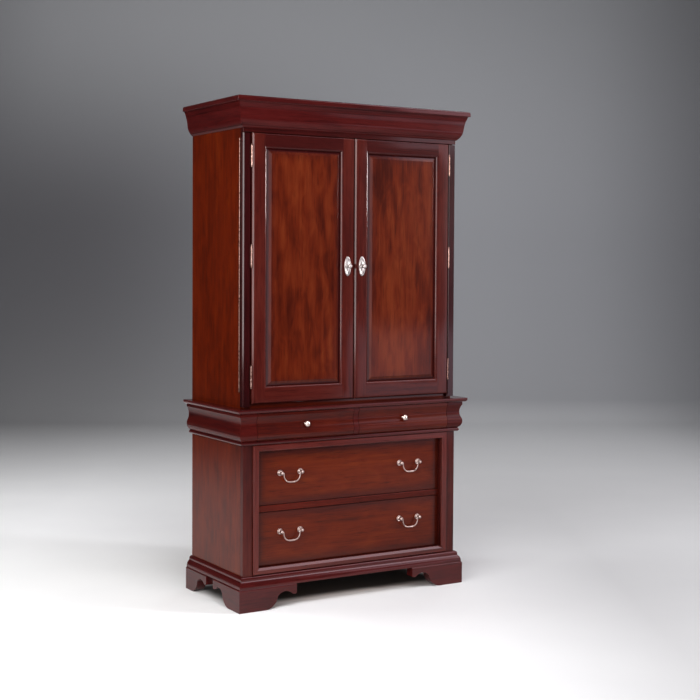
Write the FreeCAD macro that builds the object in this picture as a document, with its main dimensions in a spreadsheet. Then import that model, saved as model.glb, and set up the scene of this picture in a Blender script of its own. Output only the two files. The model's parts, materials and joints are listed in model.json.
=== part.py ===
import FreeCAD, Part
import os
import Sketcher

# A computer armoire: a chest of drawers with a two-door cabinet on top, in cherry.
# Millimetres. X runs to the right, the front faces -Y and Z is up. The origin is on the floor,
# under the middle of the whole piece.

# ---------------------------------------------------------------- driving dimensions
SIZES = {
    # case of both stages
    "case_width": 970,
    "upper_depth": 446,
    "lower_depth": 451,
    "side_thickness": 20,
    "back_thickness": 6,
    "frame_thickness": 22,
    "shelf_thickness": 18,
    "dust_board": 14,
    # heights above the floor
    "foot_height": 87,
    "lower_top": 747,
    "total_height": 1930,
    "waist_plate_thickness": 16,
    "top_board_thickness": 20,
    # mouldings: height and how far they stand out of the case
    "crown_height": 95,
    "crown_reach": 37,
    "crown_swell": 23,
    "top_overhang": 44,
    "top_edge_radius": 8,
    "waist_overhang": 39,
    "waist_edge_radius": 11,
    "frieze_height": 107,
    "frieze_reach": 24,
    "frieze_hollow": 15,
    "bead_height": 14.5,
    "bead_reach": 14.2,
    "base_height": 43,
    "base_reach": 23,
    "base_step": 12,
    # bracket feet
    "foot_reach": 26.5,
    "foot_thickness": 40,
    "foot_edge_radius": 5,
    "front_foot_flat": 108.5,
    "side_foot_flat": 92,
    "rear_foot_flat": 51,
    "scroll_radius": 56,
    "scroll_length": 137,
    "scroll_scoop": 63,
    "scroll_lip": 51,
    # doors and pilasters
    "pilaster_width": 33.8,
    "pilaster_foot_gap": 6,
    "pilaster_radius": 4.5,
    "head_gap": 3,
    "leaf_room": 2,
    "door_gap": 1.5,
    "door_hinge_gap": 3.2,
    "door_foot_gap": 18,
    "door_head_drop": 113,
    "door_head_gap": 2,
    "door_sill_gap": 2.7,
    "door_proud": 8,
    "door_edge_radius": 6,
    "stile_width": 52,
    "top_rail_width": 46.5,
    "bottom_rail_width": 54,
    "sticking_width": 10,
    "sticking_drop": 8,
    "panel_rebate": 12,
    "panel_bevel": 18,
    "panel_sink": 1.5,
    "panel_field_step": 1.2,
    "panel_web_sink": 2,
    "panel_bevel_gap": 0.5,
    "panel_play": 1,
    "panel_thickness": 8,
    # continuous hinges
    "piano_foot_gap": 43.5,
    "piano_head_gap": 20,
    "piano_knuckle_radius": 3,
    "piano_pin_radius": 1.2,
    "piano_pin_cover": 0.6,
    "piano_leaf": 0.9,
    "piano_leaf_width": 18,
    "knuckle_gap": 0.1,
    # butt hinges
    "butt_height": 76,
    "butt_foot_drop": 101,
    "butt_head_drop": 85,
    "butt_knuckle_radius": 3.3,
    "butt_side_gap": 0.3,
    "butt_pin_radius": 1.5,
    "butt_ball_radius": 3.2,
    "butt_leaf": 1.5,
    "butt_leaf_tail": 18,
    "butt_leaf_stop": 4,
    "butt_bridge_thinning": 0.4,
    "butt_stand_out": 4.5,
    # drawers
    "lower_stile_width": 65,
    "surround_foot_gap": 2.5,
    "surround_head_gap": 1,
    "drawer_rail_height": 24.5,
    "drawer_rail_proud": 3.5,
    "drawer_rail_depth": 38,
    "drawer_rail_radius": 3,
    "drawer_gap": 1.5,
    "drawer_setback": 18,
    "drawer_front_thickness": 20,
    "surround_width": 24.5,
    "surround_proud": 9,
    "surround_radius": 4,
    "frieze_block_width": 49,
    "frieze_block_half": 11,
    "frieze_post_margin": 4,
    "frieze_front_clear": 0.5,
    "frieze_box_gap": 2,
    "frieze_box_height": 84,
    "deck_play": 0.4,
    "guide_play": 0.7,
    "guide_reach": 13,
    "guide_height": 12,
    "guide_middle_gap": 1,
    "box_side": 12,
    "box_bottom": 6,
    "box_bottom_rise": 2,
    "box_rear_gap": 26,
    "lower_box_rise": 8,
    "lower_box_drop": 40,
    # slides of the wide drawers
    "slide_member": 3.5,
    "slide_play": 0.6,
    "slide_height": 45,
    "slide_length": 400,
    "slide_rise": 60,
    "slide_step": 4,
    "slide_wall_gap": 0.5,
    "slide_front_gap": 1,
    "slide_rear_gap": 4,
    "slide_plate": 1.5,
    "slide_tab_reach": 18,
    "slide_arm_gap": 0.3,
    "slide_arm_reach": 12,
    # pulls
    "post_spacing": 88,
    "post_stand": 16,
    "post_head_radius": 9,
    "rosette_radius": 13.5,
    "rosette_thickness": 3,
    "cheek": 5.3,
    "bail_rod": 5.5,
    "bail_drop": 39,
    "bail_corner": 13,
    "bail_tip_radius": 1.6,
    "bail_tip_reach": 3,
    "bail_eye_gap": 0.35,
    "frieze_knob_rise": 57,
    "frieze_knob_radius": 11.5,
    "frieze_knob_length": 22,
    "door_pull_spread": 33,
    "door_plate_width": 28,
    "door_plate_height": 75,
    "door_plate_thickness": 3,
    "door_plate_rim": 3,
    "door_plate_floor": 1,
    "door_knob_radius": 9.5,
    "door_knob_length": 28,
    # inside the cabinet
    "shelf_front_gap": 26,
    "shelf_rear_gap": 2,
    "shelf_play": 1,
    "shelf_pin_inset": 45,
    "shelf_pin_radius": 3,
    "shelf_pin_sink": 8,
    "shelf_pin_reach": 10,
    "threshold_end_gap": 5,
    "threshold_setback": 6,
    "cable_hole_radius": 30,
    "cable_hole_rise": 87,
    "catch_height": 14,
    "catch_length": 46,
    "catch_inset": 18,
    "catch_depth": 17.5,
    "catch_gap": 2.5,
    "running_clearance": 0.05,
}

# How far up or along their board some parts stand, as a share of its length.
DOOR_PULL_SHARE = 0.5108
MIDDLE_BUTT_SHARE = 0.54675
SHELF_SHARE = 0.4856
DRAWER_RAIL_SHARE = 0.496
UPPER_BAIL_SHARE = 0.7946
LOWER_BAIL_SHARE = 0.2867
BAIL_SPREAD_SHARE = 0.65
KNUCKLES = 75
COS45 = 0.70710678

document = FreeCAD.newDocument("computer_armoire")
sheet = document.addObject("Spreadsheet::Sheet", "Sizes")
for row, (word, amount) in enumerate(SIZES.items(), start=1):
    sheet.set(f"A{row}", word.replace("_", " "))
    sheet.set(f"B{row}", str(amount))
    sheet.setAlias(f"B{row}", word)
document.recompute()


# ---------------------------------------------------------------- lengths with their formulas
def value_of(length):
    """The plain number of a length."""
    return length.value if isinstance(length, Size) else length


def formula_of(length):
    """The formula of a length, for setExpression."""
    return length.formula if isinstance(length, Size) else f"({length})"


class Size:
    """A length worked out from the sheet: its value, and the formula that gives it."""

    def __init__(self, value, formula):
        self.value = value
        self.formula = formula

    def __add__(self, other):
        return Size(self.value + value_of(other), f"({self.formula} + {formula_of(other)})")

    def __sub__(self, other):
        return Size(self.value - value_of(other), f"({self.formula} - {formula_of(other)})")

    def __mul__(self, other):
        return Size(self.value * value_of(other), f"({self.formula} * {formula_of(other)})")

    def __truediv__(self, other):
        return Size(self.value / value_of(other), f"({self.formula} / {formula_of(other)})")

    def __neg__(self):
        return Size(-self.value, f"(0 - {self.formula})")

    def __rsub__(self, other):
        return Size(value_of(other) - self.value, f"({formula_of(other)} - {self.formula})")

    __radd__ = __add__
    __rmul__ = __mul__


class Dimensions:
    """The sheet's dimensions by name, such as dim.case_width."""

    def __getattr__(self, word):
        return Size(float(SIZES[word]), f"Sizes.{word}")


dim = Dimensions()


def bind(item, name, length):
    """Bind one property of an object to a length's formula."""
    item.setExpression(name, formula_of(length))


def move_to(item, x=0, y=0, z=0):
    """Bind the place of an object."""
    for axis, length in zip("xyz", (x, y, z)):
        bind(item, f"Placement.Base.{axis}", length)
    return item


# ---------------------------------------------------------------- solids
class Via(tuple):
    """A point that an arc passes through, between the corners before and after it."""


def edges_of(outline):
    """Neighbouring corners of a closed outline, with the Via of the arc between them, if any."""
    edges = []
    start, middle = outline[0], None
    for point in outline[1:] + outline[:1]:
        if isinstance(point, Via):
            middle = point
        else:
            edges.append((start, middle, point))
            start, middle = point, None
    return edges


def vector(point):
    return FreeCAD.Vector(value_of(point[0]), value_of(point[1]), 0)


def pin_point(sketch, geometry, end, point):
    """Fix one end of a sketch line at a point measured from the sketch's origin."""
    for kind, length in zip(("DistanceX", "DistanceY"), point):
        constraint = Sketcher.Constraint(kind, -1, 1, geometry, end, float(value_of(length)))
        number = sketch.addConstraint(constraint)
        bind(sketch, f"Constraints[{number}]", length)


def pass_through(sketch, geometry, point):
    """Make a sketch arc pass through a point."""
    spot = sketch.addGeometry(Part.Point(vector(point)), True)
    pin_point(sketch, spot, 1, point)
    sketch.addConstraint(Sketcher.Constraint("PointOnObject", spot, 1, geometry))


def add_edge(sketch, start, middle, stop):
    """Add a line, or an arc through middle, and tell its number and its first and last end."""
    a, b = vector(start), vector(stop)
    if middle is None:
        return sketch.addGeometry(Part.LineSegment(a, b), False), 1, 2
    m = vector(middle)
    if (m - a).cross(b - m).z > 0:
        return sketch.addGeometry(Part.Arc(a, m, b), False), 1, 2
    return sketch.addGeometry(Part.Arc(b, m, a), False), 2, 1


def draw(sketch, outline):
    """Draw a closed outline of lines and arcs, fully constrained."""
    edges = edges_of(outline)
    ends = [add_edge(sketch, *edge) for edge in edges]
    for (number, first, _), (start, _, _) in zip(ends, edges):
        pin_point(sketch, number, first, start)
    for (number, _, last), (following, first, _) in zip(ends, ends[1:] + ends[:1]):
        sketch.addConstraint(Sketcher.Constraint("Coincident", number, last, following, first))
    for (number, _, _), (_, middle, _) in zip(ends, edges):
        if middle is not None:
            pass_through(sketch, number, middle)


def draw_circle(sketch, centre, radius):
    """Draw a circle with its centre and radius bound."""
    axis = FreeCAD.Vector(0, 0, 1)
    number = sketch.addGeometry(Part.Circle(vector(centre), axis, value_of(radius)), False)
    pin_point(sketch, number, 3, centre)
    constraint = sketch.addConstraint(Sketcher.Constraint("Radius", number, value_of(radius)))
    bind(sketch, f"Constraints[{constraint}]", radius)


def new_body(name):
    return document.addObject("PartDesign::Body", name)


def new_sketch(body, role, name, lift=0):
    """A sketch on one of the body's own origin planes, lifted along the plane's normal."""
    sketch = body.newObject("Sketcher::SketchObject", name)
    plane = next(item for item in body.Origin.OriginFeatures if item.Role == role)
    sketch.AttachmentSupport = [(plane, "")]
    sketch.MapMode = "FlatFace"
    bind(sketch, "AttachmentOffset.Base.z", lift)
    return sketch


def pad(body, sketch, name, length):
    feature = body.newObject("PartDesign::Pad", name)
    feature.Profile = sketch
    feature.Length = value_of(length)
    bind(feature, "Length", length)
    return feature


def round_edges(body, radius, chosen):
    """Round the edges of the body's tip for which chosen(edge box) is true."""
    document.recompute()
    base = body.Tip
    placing = body.Placement.toMatrix()
    names = [f"Edge{number}" for number, edge in enumerate(base.Shape.Edges, start=1)
             if chosen(edge.transformed(placing).BoundBox)]
    feature = body.newObject("PartDesign::Fillet", f"{body.Name}_rounding")
    feature.Base = (base, names)
    feature.Radius = value_of(radius)
    bind(feature, "Radius", radius)
    return body


def prism(name, role, outline, start, length, at=(0, 0)):
    """An outline drawn on a plane and padded: XY pads up, XZ pads to the front, YZ to the right.

    The outline is measured from the point at, in the plane.
    """
    body = new_body(name)
    sketch = new_sketch(body, role, f"{name}_outline")
    draw(sketch, outline)
    pad(body, sketch, f"{name}_pad", length)
    places = {"XY_Plane": (*at, start), "XZ_Plane": (at[0], start, at[1]), "YZ_Plane": (start, *at)}
    return move_to(body, *places[role])


def block(name, x, y, z):
    """A board with square edges, from its low and high bounds along each axis."""
    board = document.addObject("Part::Box", name)
    for side, (low, high) in zip(("Length", "Width", "Height"), (x, y, z)):
        bind(board, side, high - low)
    return move_to(board, x[0], y[0], z[0])


def rod(name, radius, length, x, y, z, axis="z"):
    """A round bar that starts at a point and runs along +X, +Y or +Z."""
    bar = document.addObject("Part::Cylinder", name)
    bind(bar, "Radius", radius)
    bind(bar, "Height", length)
    turns = {"x": (FreeCAD.Vector(0, 1, 0), 90), "y": (FreeCAD.Vector(1, 0, 0), -90)}
    if axis in turns:
        bar.Placement.Rotation = FreeCAD.Rotation(*turns[axis])
    return move_to(bar, x, y, z)


def ball(name, radius, x, y, z):
    sphere = document.addObject("Part::Sphere", name)
    bind(sphere, "Radius", radius)
    return move_to(sphere, x, y, z)


def turned(name, outline, x, y, z):
    """A piece turned about a line that runs to the front: outline points are (radius, -reach)."""
    body = new_body(name)
    sketch = new_sketch(body, "XY_Plane", f"{name}_outline")
    draw(sketch, outline)
    feature = body.newObject("PartDesign::Revolution", f"{name}_turning")
    feature.Profile = sketch
    feature.ReferenceAxis = (sketch, ["V_Axis"])
    feature.Angle = 360
    return move_to(body, x, y, z)


def fused(name, parts):
    item = document.addObject("Part::MultiFuse", name)
    item.Shapes = parts
    return item


def cut(name, base, tool):
    item = document.addObject("Part::Cut", name)
    item.Base, item.Tool = base, tool
    return item


def common(name, base, tool):
    item = document.addObject("Part::MultiCommon", name)
    item.Shapes = [base, tool]
    return item


def mirrored(name, source):
    """The left-hand copy of a right-hand piece."""
    item = document.addObject("Part::Mirroring", name)
    item.Source = source
    item.Base = FreeCAD.Vector(0, 0, 0)
    item.Normal = FreeCAD.Vector(1, 0, 0)
    return item


def grouped(name, parts):
    """Separate solids that share one node."""
    item = document.addObject("Part::Compound", name)
    item.Links = parts
    return item


nodes = {}


def keep(name, item):
    """Make an object a sub-part of the armoire, under the name of its node."""
    item.Label = name
    nodes[name] = item
    return item


def keep_pair(name, right):
    """Keep a right-hand piece and its mirror image as two sub-parts."""
    keep(f"right_{name}", right)
    keep(f"left_{name}", mirrored(f"left_{name}_mirror", right))


# ---------------------------------------------------------------- places that pieces share
half = dim.case_width / 2
inner_half = half - dim.side_thickness
rear = (dim.upper_depth + dim.top_overhang) / 2


def ahead(distance):
    """The y of a plane this far in front of the back of the case."""
    return rear - distance


upper_face = ahead(dim.upper_depth)
lower_face = ahead(dim.lower_depth)
inside_back = ahead(dim.back_thickness)
pilaster_back = ahead(dim.upper_depth - dim.frame_thickness)
upper_side_front = pilaster_back + dim.leaf_room
base_top = dim.foot_height + dim.base_height
frieze_foot = dim.lower_top - dim.frieze_height
bead_foot = frieze_foot - dim.bead_height
waist_top = dim.lower_top + dim.waist_plate_thickness
crown_top = dim.total_height - dim.top_board_thickness
crown_foot = crown_top - dim.crown_height
door_foot = waist_top + dim.door_foot_gap
door_top = crown_top - dim.door_head_drop
head_foot = door_top + dim.door_head_gap
opening_half = half - dim.lower_stile_width
opening_foot = base_top + dim.surround_foot_gap + dim.surround_width
opening_top = bead_foot - dim.surround_head_gap - dim.surround_width
opening_height = opening_top - opening_foot
face_frame_back = lower_face + dim.frame_thickness


# ---------------------------------------------------------------- mouldings round three sides
def corner_wedge(name, face, reach, depth, z, height, at_front):
    """The half of a mitred corner that the front strip, or the right-hand return, fills."""
    out_x, in_x = half + reach, half - depth
    out_y, in_y = face - reach, face + depth
    if at_front:
        outline = [(-out_x, out_y), (out_x, out_y), (in_x, in_y), (-in_x, in_y)]
    else:
        outline = [(out_x, out_y), (out_x, rear), (in_x, rear), (in_x, in_y)]
    return prism(name, "XY_Plane", outline, z, height)


def wrapped(name, face, profile, reach, z, height, depth=0):
    """A front strip and two returns of one profile, mitred at the case's front corners.

    The profile's points are (reach out of the case, height above z).
    """
    across = [type(point)((-point[0], point[1])) for point in profile]
    front_bar = prism(f"{name}_front_bar", "YZ_Plane", across, -half - reach,
                      (half + reach) * 2, (face, z))
    front_wedge = corner_wedge(f"{name}_front_wedge", face, reach, depth, z, height, True)
    front = common(f"{name}_front", front_bar, front_wedge)
    side_bar = prism(f"{name}_side_bar", "XZ_Plane", profile, rear, rear - face + reach, (half, z))
    side_wedge = corner_wedge(f"{name}_side_wedge", face, reach, depth, z, height, False)
    side = common(f"{name}_right", side_bar, side_wedge)
    return front, side, mirrored(f"{name}_left", side)


def round_point(x, y, radius, right, up):
    """The middle of a quarter arc about (x, y), on the side that right and up (1 or -1) tell."""
    return Via((x + radius * (COS45 * right), y + radius * (COS45 * up)))


# Crown: a long convex swell at its foot under a cove that flares to the top board.
crown_profile = [
    (0, 0),
    (dim.crown_swell * 0.09, 0),
    Via((dim.crown_swell * 0.67, dim.crown_height * 0.168)),
    (dim.crown_swell, dim.crown_height * 0.42),
    Via((dim.crown_swell + (dim.crown_reach - dim.crown_swell) * 0.33, dim.crown_height * 0.716)),
    (dim.crown_reach, dim.crown_height),
    (0, dim.crown_height),
]
keep("crown_moulding", grouped("crown_pieces", wrapped(
    "crown", upper_face, crown_profile, dim.crown_reach, crown_foot, dim.crown_height)))

# Bead under the frieze.
bead_flat = dim.bead_reach * 0.6
bead_profile = [
    (0, 0),
    (bead_flat, 0),
    Via((dim.bead_reach, dim.bead_height / 2)),
    (bead_flat, dim.bead_height),
    (0, dim.bead_height),
]
keep("waist_bead", grouped("bead_pieces", wrapped(
    "bead", lower_face, bead_profile, dim.bead_reach, bead_foot, dim.bead_height)))

# Base moulding over the feet: a quarter round above a large ogee.
base_profile = [
    (0, 0),
    (dim.base_reach, 0),
    (dim.base_reach, dim.base_height * 0.08),
    Via((dim.base_reach - (dim.base_reach - dim.base_step) * 0.3, dim.base_height * 0.42)),
    (dim.base_step, dim.base_height * 0.64),
    (dim.base_step, dim.base_height * 0.76),
    Via((dim.base_step * 0.78, dim.base_height * 0.925)),
    (dim.base_step * 0.3, dim.base_height),
    (0, dim.base_height),
]
keep("base_moulding", grouped("base_pieces", wrapped(
    "base", lower_face, base_profile, dim.base_reach, dim.foot_height, dim.base_height)))

# Frieze: a hollow under the waist plate that swells to a nose and turns in to the bead. One bar
# of it makes the corner blocks with their returns, the middle block and both drawer fronts.
frieze_profile = [
    (0, 0),
    (dim.frieze_reach * 0.4, 0),
    Via((dim.frieze_reach * 0.985, dim.frieze_height * 0.19)),
    (dim.frieze_reach * 0.92, dim.frieze_height * 0.365),
    Via((dim.frieze_hollow, dim.frieze_height * 0.61)),
    (dim.frieze_reach, dim.frieze_height * 0.888),
    (dim.frieze_reach, dim.frieze_height),
    (0, dim.frieze_height),
]
frieze_front, frieze_right, frieze_left = wrapped(
    "frieze", lower_face, frieze_profile, dim.frieze_reach, frieze_foot, dim.frieze_height)
block_inner = half - dim.frieze_block_width
frieze_front_zone = (lower_face - dim.frieze_reach, lower_face)
corner_zone = block("frieze_corner_zone", (block_inner, half + dim.frieze_reach),
                    frieze_front_zone, (frieze_foot, dim.lower_top))
corner_block = fused("frieze_corner", [
    common("frieze_corner_front", frieze_front, corner_zone), frieze_right])
middle_zone = block("frieze_middle_zone", (-dim.frieze_block_half, dim.frieze_block_half),
                    frieze_front_zone, (frieze_foot, dim.lower_top))
middle_block = common("frieze_middle", frieze_front, middle_zone)
keep("frieze_blocks", grouped("frieze_block_pieces", [
    corner_block, mirrored("frieze_corner_left", corner_block), middle_block]))

# ---------------------------------------------------------------- boards with moulded edges
# Top board: rounded on the front and the two ends, flat at the back.
top_front = upper_face - dim.top_overhang
top_half = half + dim.top_overhang
top_board = prism("top_board_slab", "XY_Plane", [
    (-top_half, top_front), (top_half, top_front), (top_half, rear), (-top_half, rear),
], crown_top, dim.top_board_thickness)
round_edges(top_board, dim.top_edge_radius, lambda box: (
    box.ZLength < 1 and box.YMin < rear.value - 1 and box.ZMin > crown_top.value + 1))
keep("top_board", top_board)

# Waist plate: the top of the lower stage, its lower edge worked to a large quarter round.
plate_front = lower_face - dim.waist_overhang
plate_half = half + dim.waist_overhang
waist_plate = prism("waist_plate_slab", "XY_Plane", [
    (-plate_half, plate_front), (plate_half, plate_front), (plate_half, rear), (-plate_half, rear),
], dim.lower_top, dim.waist_plate_thickness)
round_edges(waist_plate, dim.waist_edge_radius, lambda box: (
    box.ZLength < 1 and box.YMin < rear.value - 1 and box.ZMax < waist_top.value - 1))
keep("waist_plate", waist_plate)


# ---------------------------------------------------------------- bracket feet
def scroll(flat, inward):
    """The face of a foot board, from its corner to its scrolled inner end.

    The flat stands on the floor beside the corner; inward is +1 or -1 along the face.
    """
    def at(distance, height):
        return (distance * inward, height)

    radius = dim.scroll_radius
    bend = 1 - COS45
    tip = flat + radius
    end = flat + dim.scroll_length
    lobe = end - dim.scroll_length * 0.17
    return [
        at(0, dim.foot_height),
        at(0, 0),
        at(flat, 0),
        Via(at(tip - radius * bend, radius * bend)),
        at(tip, radius * 0.86),
        Via(at(tip + (lobe - tip) * 0.53, dim.scroll_scoop)),
        at(lobe, dim.scroll_lip * 1.06),
        Via(at(end - dim.scroll_length * 0.08, dim.scroll_lip * 0.94)),
        at(end, dim.scroll_lip),
        at(end, dim.foot_height),
    ]


foot_half = half + dim.foot_reach
foot_front = lower_face - dim.foot_reach
foot_depth = dim.foot_thickness - dim.foot_reach
foot_back_x = half - foot_depth
foot_back_y = lower_face + foot_depth


def foot_board(name, role, outline, corner, start, wedge_outline):
    """One scrolled board of a foot, mitred at its corner, its outer top edge rounded."""
    board = prism(f"{name}_board", role, outline, start, dim.foot_thickness, (corner, 0))
    outer = foot_front if role == "XZ_Plane" else foot_half

    def on_outer_top(box):
        near = box.YMax - outer.value if role == "XZ_Plane" else outer.value - box.XMin
        return near < 0.5 and box.ZMin > dim.foot_height.value - 0.5

    round_edges(board, dim.foot_edge_radius, on_outer_top)
    wedge = prism(f"{name}_wedge", "XY_Plane", wedge_outline, 0, dim.foot_height)
    return common(name, board, wedge)


front_foot_length = dim.front_foot_flat + dim.scroll_length
front_foot_front = foot_board(
    "front_foot_front", "XZ_Plane", scroll(dim.front_foot_flat, -1), foot_half,
    foot_front + dim.foot_thickness,
    [(foot_half - front_foot_length, foot_front), (foot_half, foot_front),
     (foot_back_x, foot_back_y), (foot_half - front_foot_length, foot_back_y)])
side_foot_length = dim.side_foot_flat + dim.scroll_length
front_foot_side = foot_board(
    "front_foot_side", "YZ_Plane", scroll(dim.side_foot_flat, 1), foot_front, foot_back_x,
    [(foot_half, foot_front), (foot_half, foot_front + side_foot_length),
     (foot_back_x, foot_front + side_foot_length), (foot_back_x, foot_back_y)])
keep("front_feet", grouped("front_foot_pieces", [
    front_foot_front, front_foot_side,
    mirrored("front_foot_front_left", front_foot_front),
    mirrored("front_foot_side_left", front_foot_side)]))

rear_foot_length = dim.rear_foot_flat + dim.scroll_length
rear_foot = foot_board(
    "rear_foot", "YZ_Plane", scroll(dim.rear_foot_flat, -1), rear, foot_back_x,
    [(foot_half, rear - rear_foot_length), (foot_half, rear),
     (foot_back_x, rear), (foot_back_x, rear - rear_foot_length)])
keep("rear_feet", grouped("rear_foot_pieces", [rear_foot, mirrored("rear_foot_left", rear_foot)]))

# ---------------------------------------------------------------- lower case
lower_side = block("lower_side_board", (inner_half, half), (face_frame_back, rear),
                   (dim.foot_height, dim.lower_top))
keep_pair("lower_side", lower_side)
lower_bottom_top = dim.foot_height + dim.side_thickness
keep("lower_bottom", block("lower_bottom_board", (-inner_half, inner_half),
                           (face_frame_back, inside_back), (dim.foot_height, lower_bottom_top)))
deck_foot = frieze_foot - dim.dust_board
keep("lower_back", block("lower_back_board", (-inner_half, inner_half), (inside_back, rear),
                         (dim.foot_height, dim.lower_top)))

# Face frame: two stiles, a rail above and one below the wide drawers, and a post between the
# frieze drawers. The rail between the wide drawers is let in behind the stiles.
frame_y = (lower_face, face_frame_back)
post_half = dim.frieze_block_half + dim.frieze_post_margin
stile = block("lower_stile", (opening_half, half), frame_y, (dim.foot_height, dim.lower_top))
keep("lower_face_frame", grouped("face_frame_pieces", [
    stile,
    mirrored("lower_stile_left", stile),
    block("lower_bottom_rail", (-opening_half, opening_half), frame_y,
          (dim.foot_height, opening_foot)),
    block("lower_top_rail", (-opening_half, opening_half), frame_y, (opening_top, frieze_foot)),
    block("frieze_post", (-post_half, post_half), frame_y, (frieze_foot, dim.lower_top)),
]))


# ---------------------------------------------------------------- mitred frames on a face
def mitred_bar(name, profile, spans, inner, width, level, side):
    """One bar of a mitred frame round an opening.

    profile points are (distance from the opening's edge, reach in front of level). spans holds
    the opening's low and high x and z. inner is +1 where the bar lies outside the opening's edge
    and -1 where it lies inside it. side is left, right, foot or head.
    """
    (left, right), (foot, head) = spans
    out = width * inner
    if side in ("left", "right"):
        edge, sign = (left, -inner) if side == "left" else (right, inner)
        outline = [type(p)((p[0] * sign, -p[1])) for p in profile]
        low, high = (foot - out, head + out) if inner > 0 else (foot, head)
        bar = prism(f"{name}_bar", "XY_Plane", outline, low, high - low, (edge, level))
        far = edge + width * sign
        wedge_outline = [(edge, foot), (edge, head), (far, head + out), (far, foot - out)]
    else:
        edge, sign = (foot, -inner) if side == "foot" else (head, inner)
        outline = [type(p)((-p[1], p[0] * sign)) for p in profile]
        low, high = (left - out, right + out) if inner > 0 else (left, right)
        bar = prism(f"{name}_bar", "YZ_Plane", outline, low, high - low, (level, edge))
        far = edge + width * sign
        wedge_outline = [(left, edge), (right, edge), (right + out, far), (left - out, far)]
    deepest = min((p[1] for p in profile), key=value_of)
    highest = max((p[1] for p in profile), key=value_of)
    wedge = prism(f"{name}_wedge", "XZ_Plane", wedge_outline, level - deepest, highest - deepest)
    return common(name, bar, wedge)


# Surround: a raised flat moulding with rounded edges, mitred round both wide drawers.
round_radius = dim.surround_radius
surround_profile = [
    (0, 0),
    (0, dim.surround_proud - round_radius),
    round_point(round_radius, dim.surround_proud - round_radius, round_radius, -1, 1),
    (round_radius, dim.surround_proud),
    (dim.surround_width - round_radius, dim.surround_proud),
    round_point(dim.surround_width - round_radius, dim.surround_proud - round_radius,
                round_radius, 1, 1),
    (dim.surround_width, dim.surround_proud - round_radius),
    (dim.surround_width, 0),
]
surround_spans = ((-opening_half, opening_half), (opening_foot, opening_top))
keep("drawer_surround", grouped("surround_pieces", [
    mitred_bar(f"surround_{side}", surround_profile, surround_spans, 1, dim.surround_width,
               lower_face, side)
    for side in ("left", "right", "foot", "head")]))

# Drawer rail: a square rail with rounded front edges, a little proud of the drawers.
drawer_face = lower_face + dim.drawer_setback
drawer_front_back = drawer_face + dim.drawer_front_thickness
rail_middle = opening_foot + opening_height * DRAWER_RAIL_SHARE
rail_foot = rail_middle - dim.drawer_rail_height / 2
rail_top = rail_middle + dim.drawer_rail_height / 2
rail_front = drawer_face - dim.drawer_rail_proud
rail_back = rail_front + dim.drawer_rail_depth
rail_end = opening_half + dim.surround_width
drawer_rail = prism("drawer_rail_bar", "XY_Plane", [
    (-opening_half, rail_front), (opening_half, rail_front), (opening_half, face_frame_back),
    (rail_end, face_frame_back), (rail_end, rail_back), (-rail_end, rail_back),
    (-rail_end, face_frame_back), (-opening_half, face_frame_back),
], rail_foot, dim.drawer_rail_height)
keep("drawer_rail", round_edges(drawer_rail, dim.drawer_rail_radius, lambda box: (
    box.ZLength < 1 and box.YMax < rail_front.value + 1)))

# Waist deck: the dust board under the frieze drawers, with a guide on each side of both boxes.
frieze_box_outer = opening_half - dim.frieze_box_gap
frieze_box_inner = post_half + dim.frieze_box_gap
guide_y = (face_frame_back, ahead(dim.box_rear_gap))
guide_z = (frieze_foot, frieze_foot + dim.guide_height)
outer_guide = block("outer_guide", (frieze_box_outer + dim.guide_play,
                                    frieze_box_outer + dim.guide_reach), guide_y, guide_z)
inner_guide = block("inner_guide", (dim.guide_middle_gap, frieze_box_inner - dim.guide_play),
                    guide_y, guide_z)
keep("waist_deck", grouped("waist_deck_pieces", [
    block("deck_board", (-inner_half, inner_half), (face_frame_back, inside_back),
          (deck_foot, frieze_foot)),
    outer_guide, mirrored("outer_guide_left", outer_guide),
    inner_guide, mirrored("inner_guide_left", inner_guide)]))

# ---------------------------------------------------------------- upper case
upper_side = block("upper_side_board", (inner_half, half), (upper_side_front, rear),
                   (waist_top, crown_top))
shelf_y = (pilaster_back + dim.shelf_front_gap, inside_back - dim.shelf_rear_gap)
pin_rows = (shelf_y[0] + dim.shelf_pin_inset, shelf_y[1] - dim.shelf_pin_inset)
shelf_foot = waist_top + (crown_top - waist_top) * SHELF_SHARE
pins = [rod(f"shelf_pin_{number}", dim.shelf_pin_radius, dim.shelf_pin_sink + dim.shelf_pin_reach,
            inner_half - dim.shelf_pin_reach, y, shelf_foot - dim.shelf_pin_radius, "x")
        for number, y in enumerate(pin_rows)]
bored_side = upper_side
for number, pin in enumerate(pins):
    bored_side = cut(f"upper_side_bored_{number}", bored_side, pin)
keep_pair("upper_side", bored_side)
keep("shelf_pins", grouped("shelf_pin_set", pins + [
    mirrored(f"shelf_pin_left_{number}", pin) for number, pin in enumerate(pins)]))
shelf_half = inner_half - dim.shelf_play
keep("shelf", block("shelf_board", (-shelf_half, shelf_half), shelf_y,
                    (shelf_foot, shelf_foot + dim.shelf_thickness)))

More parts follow.
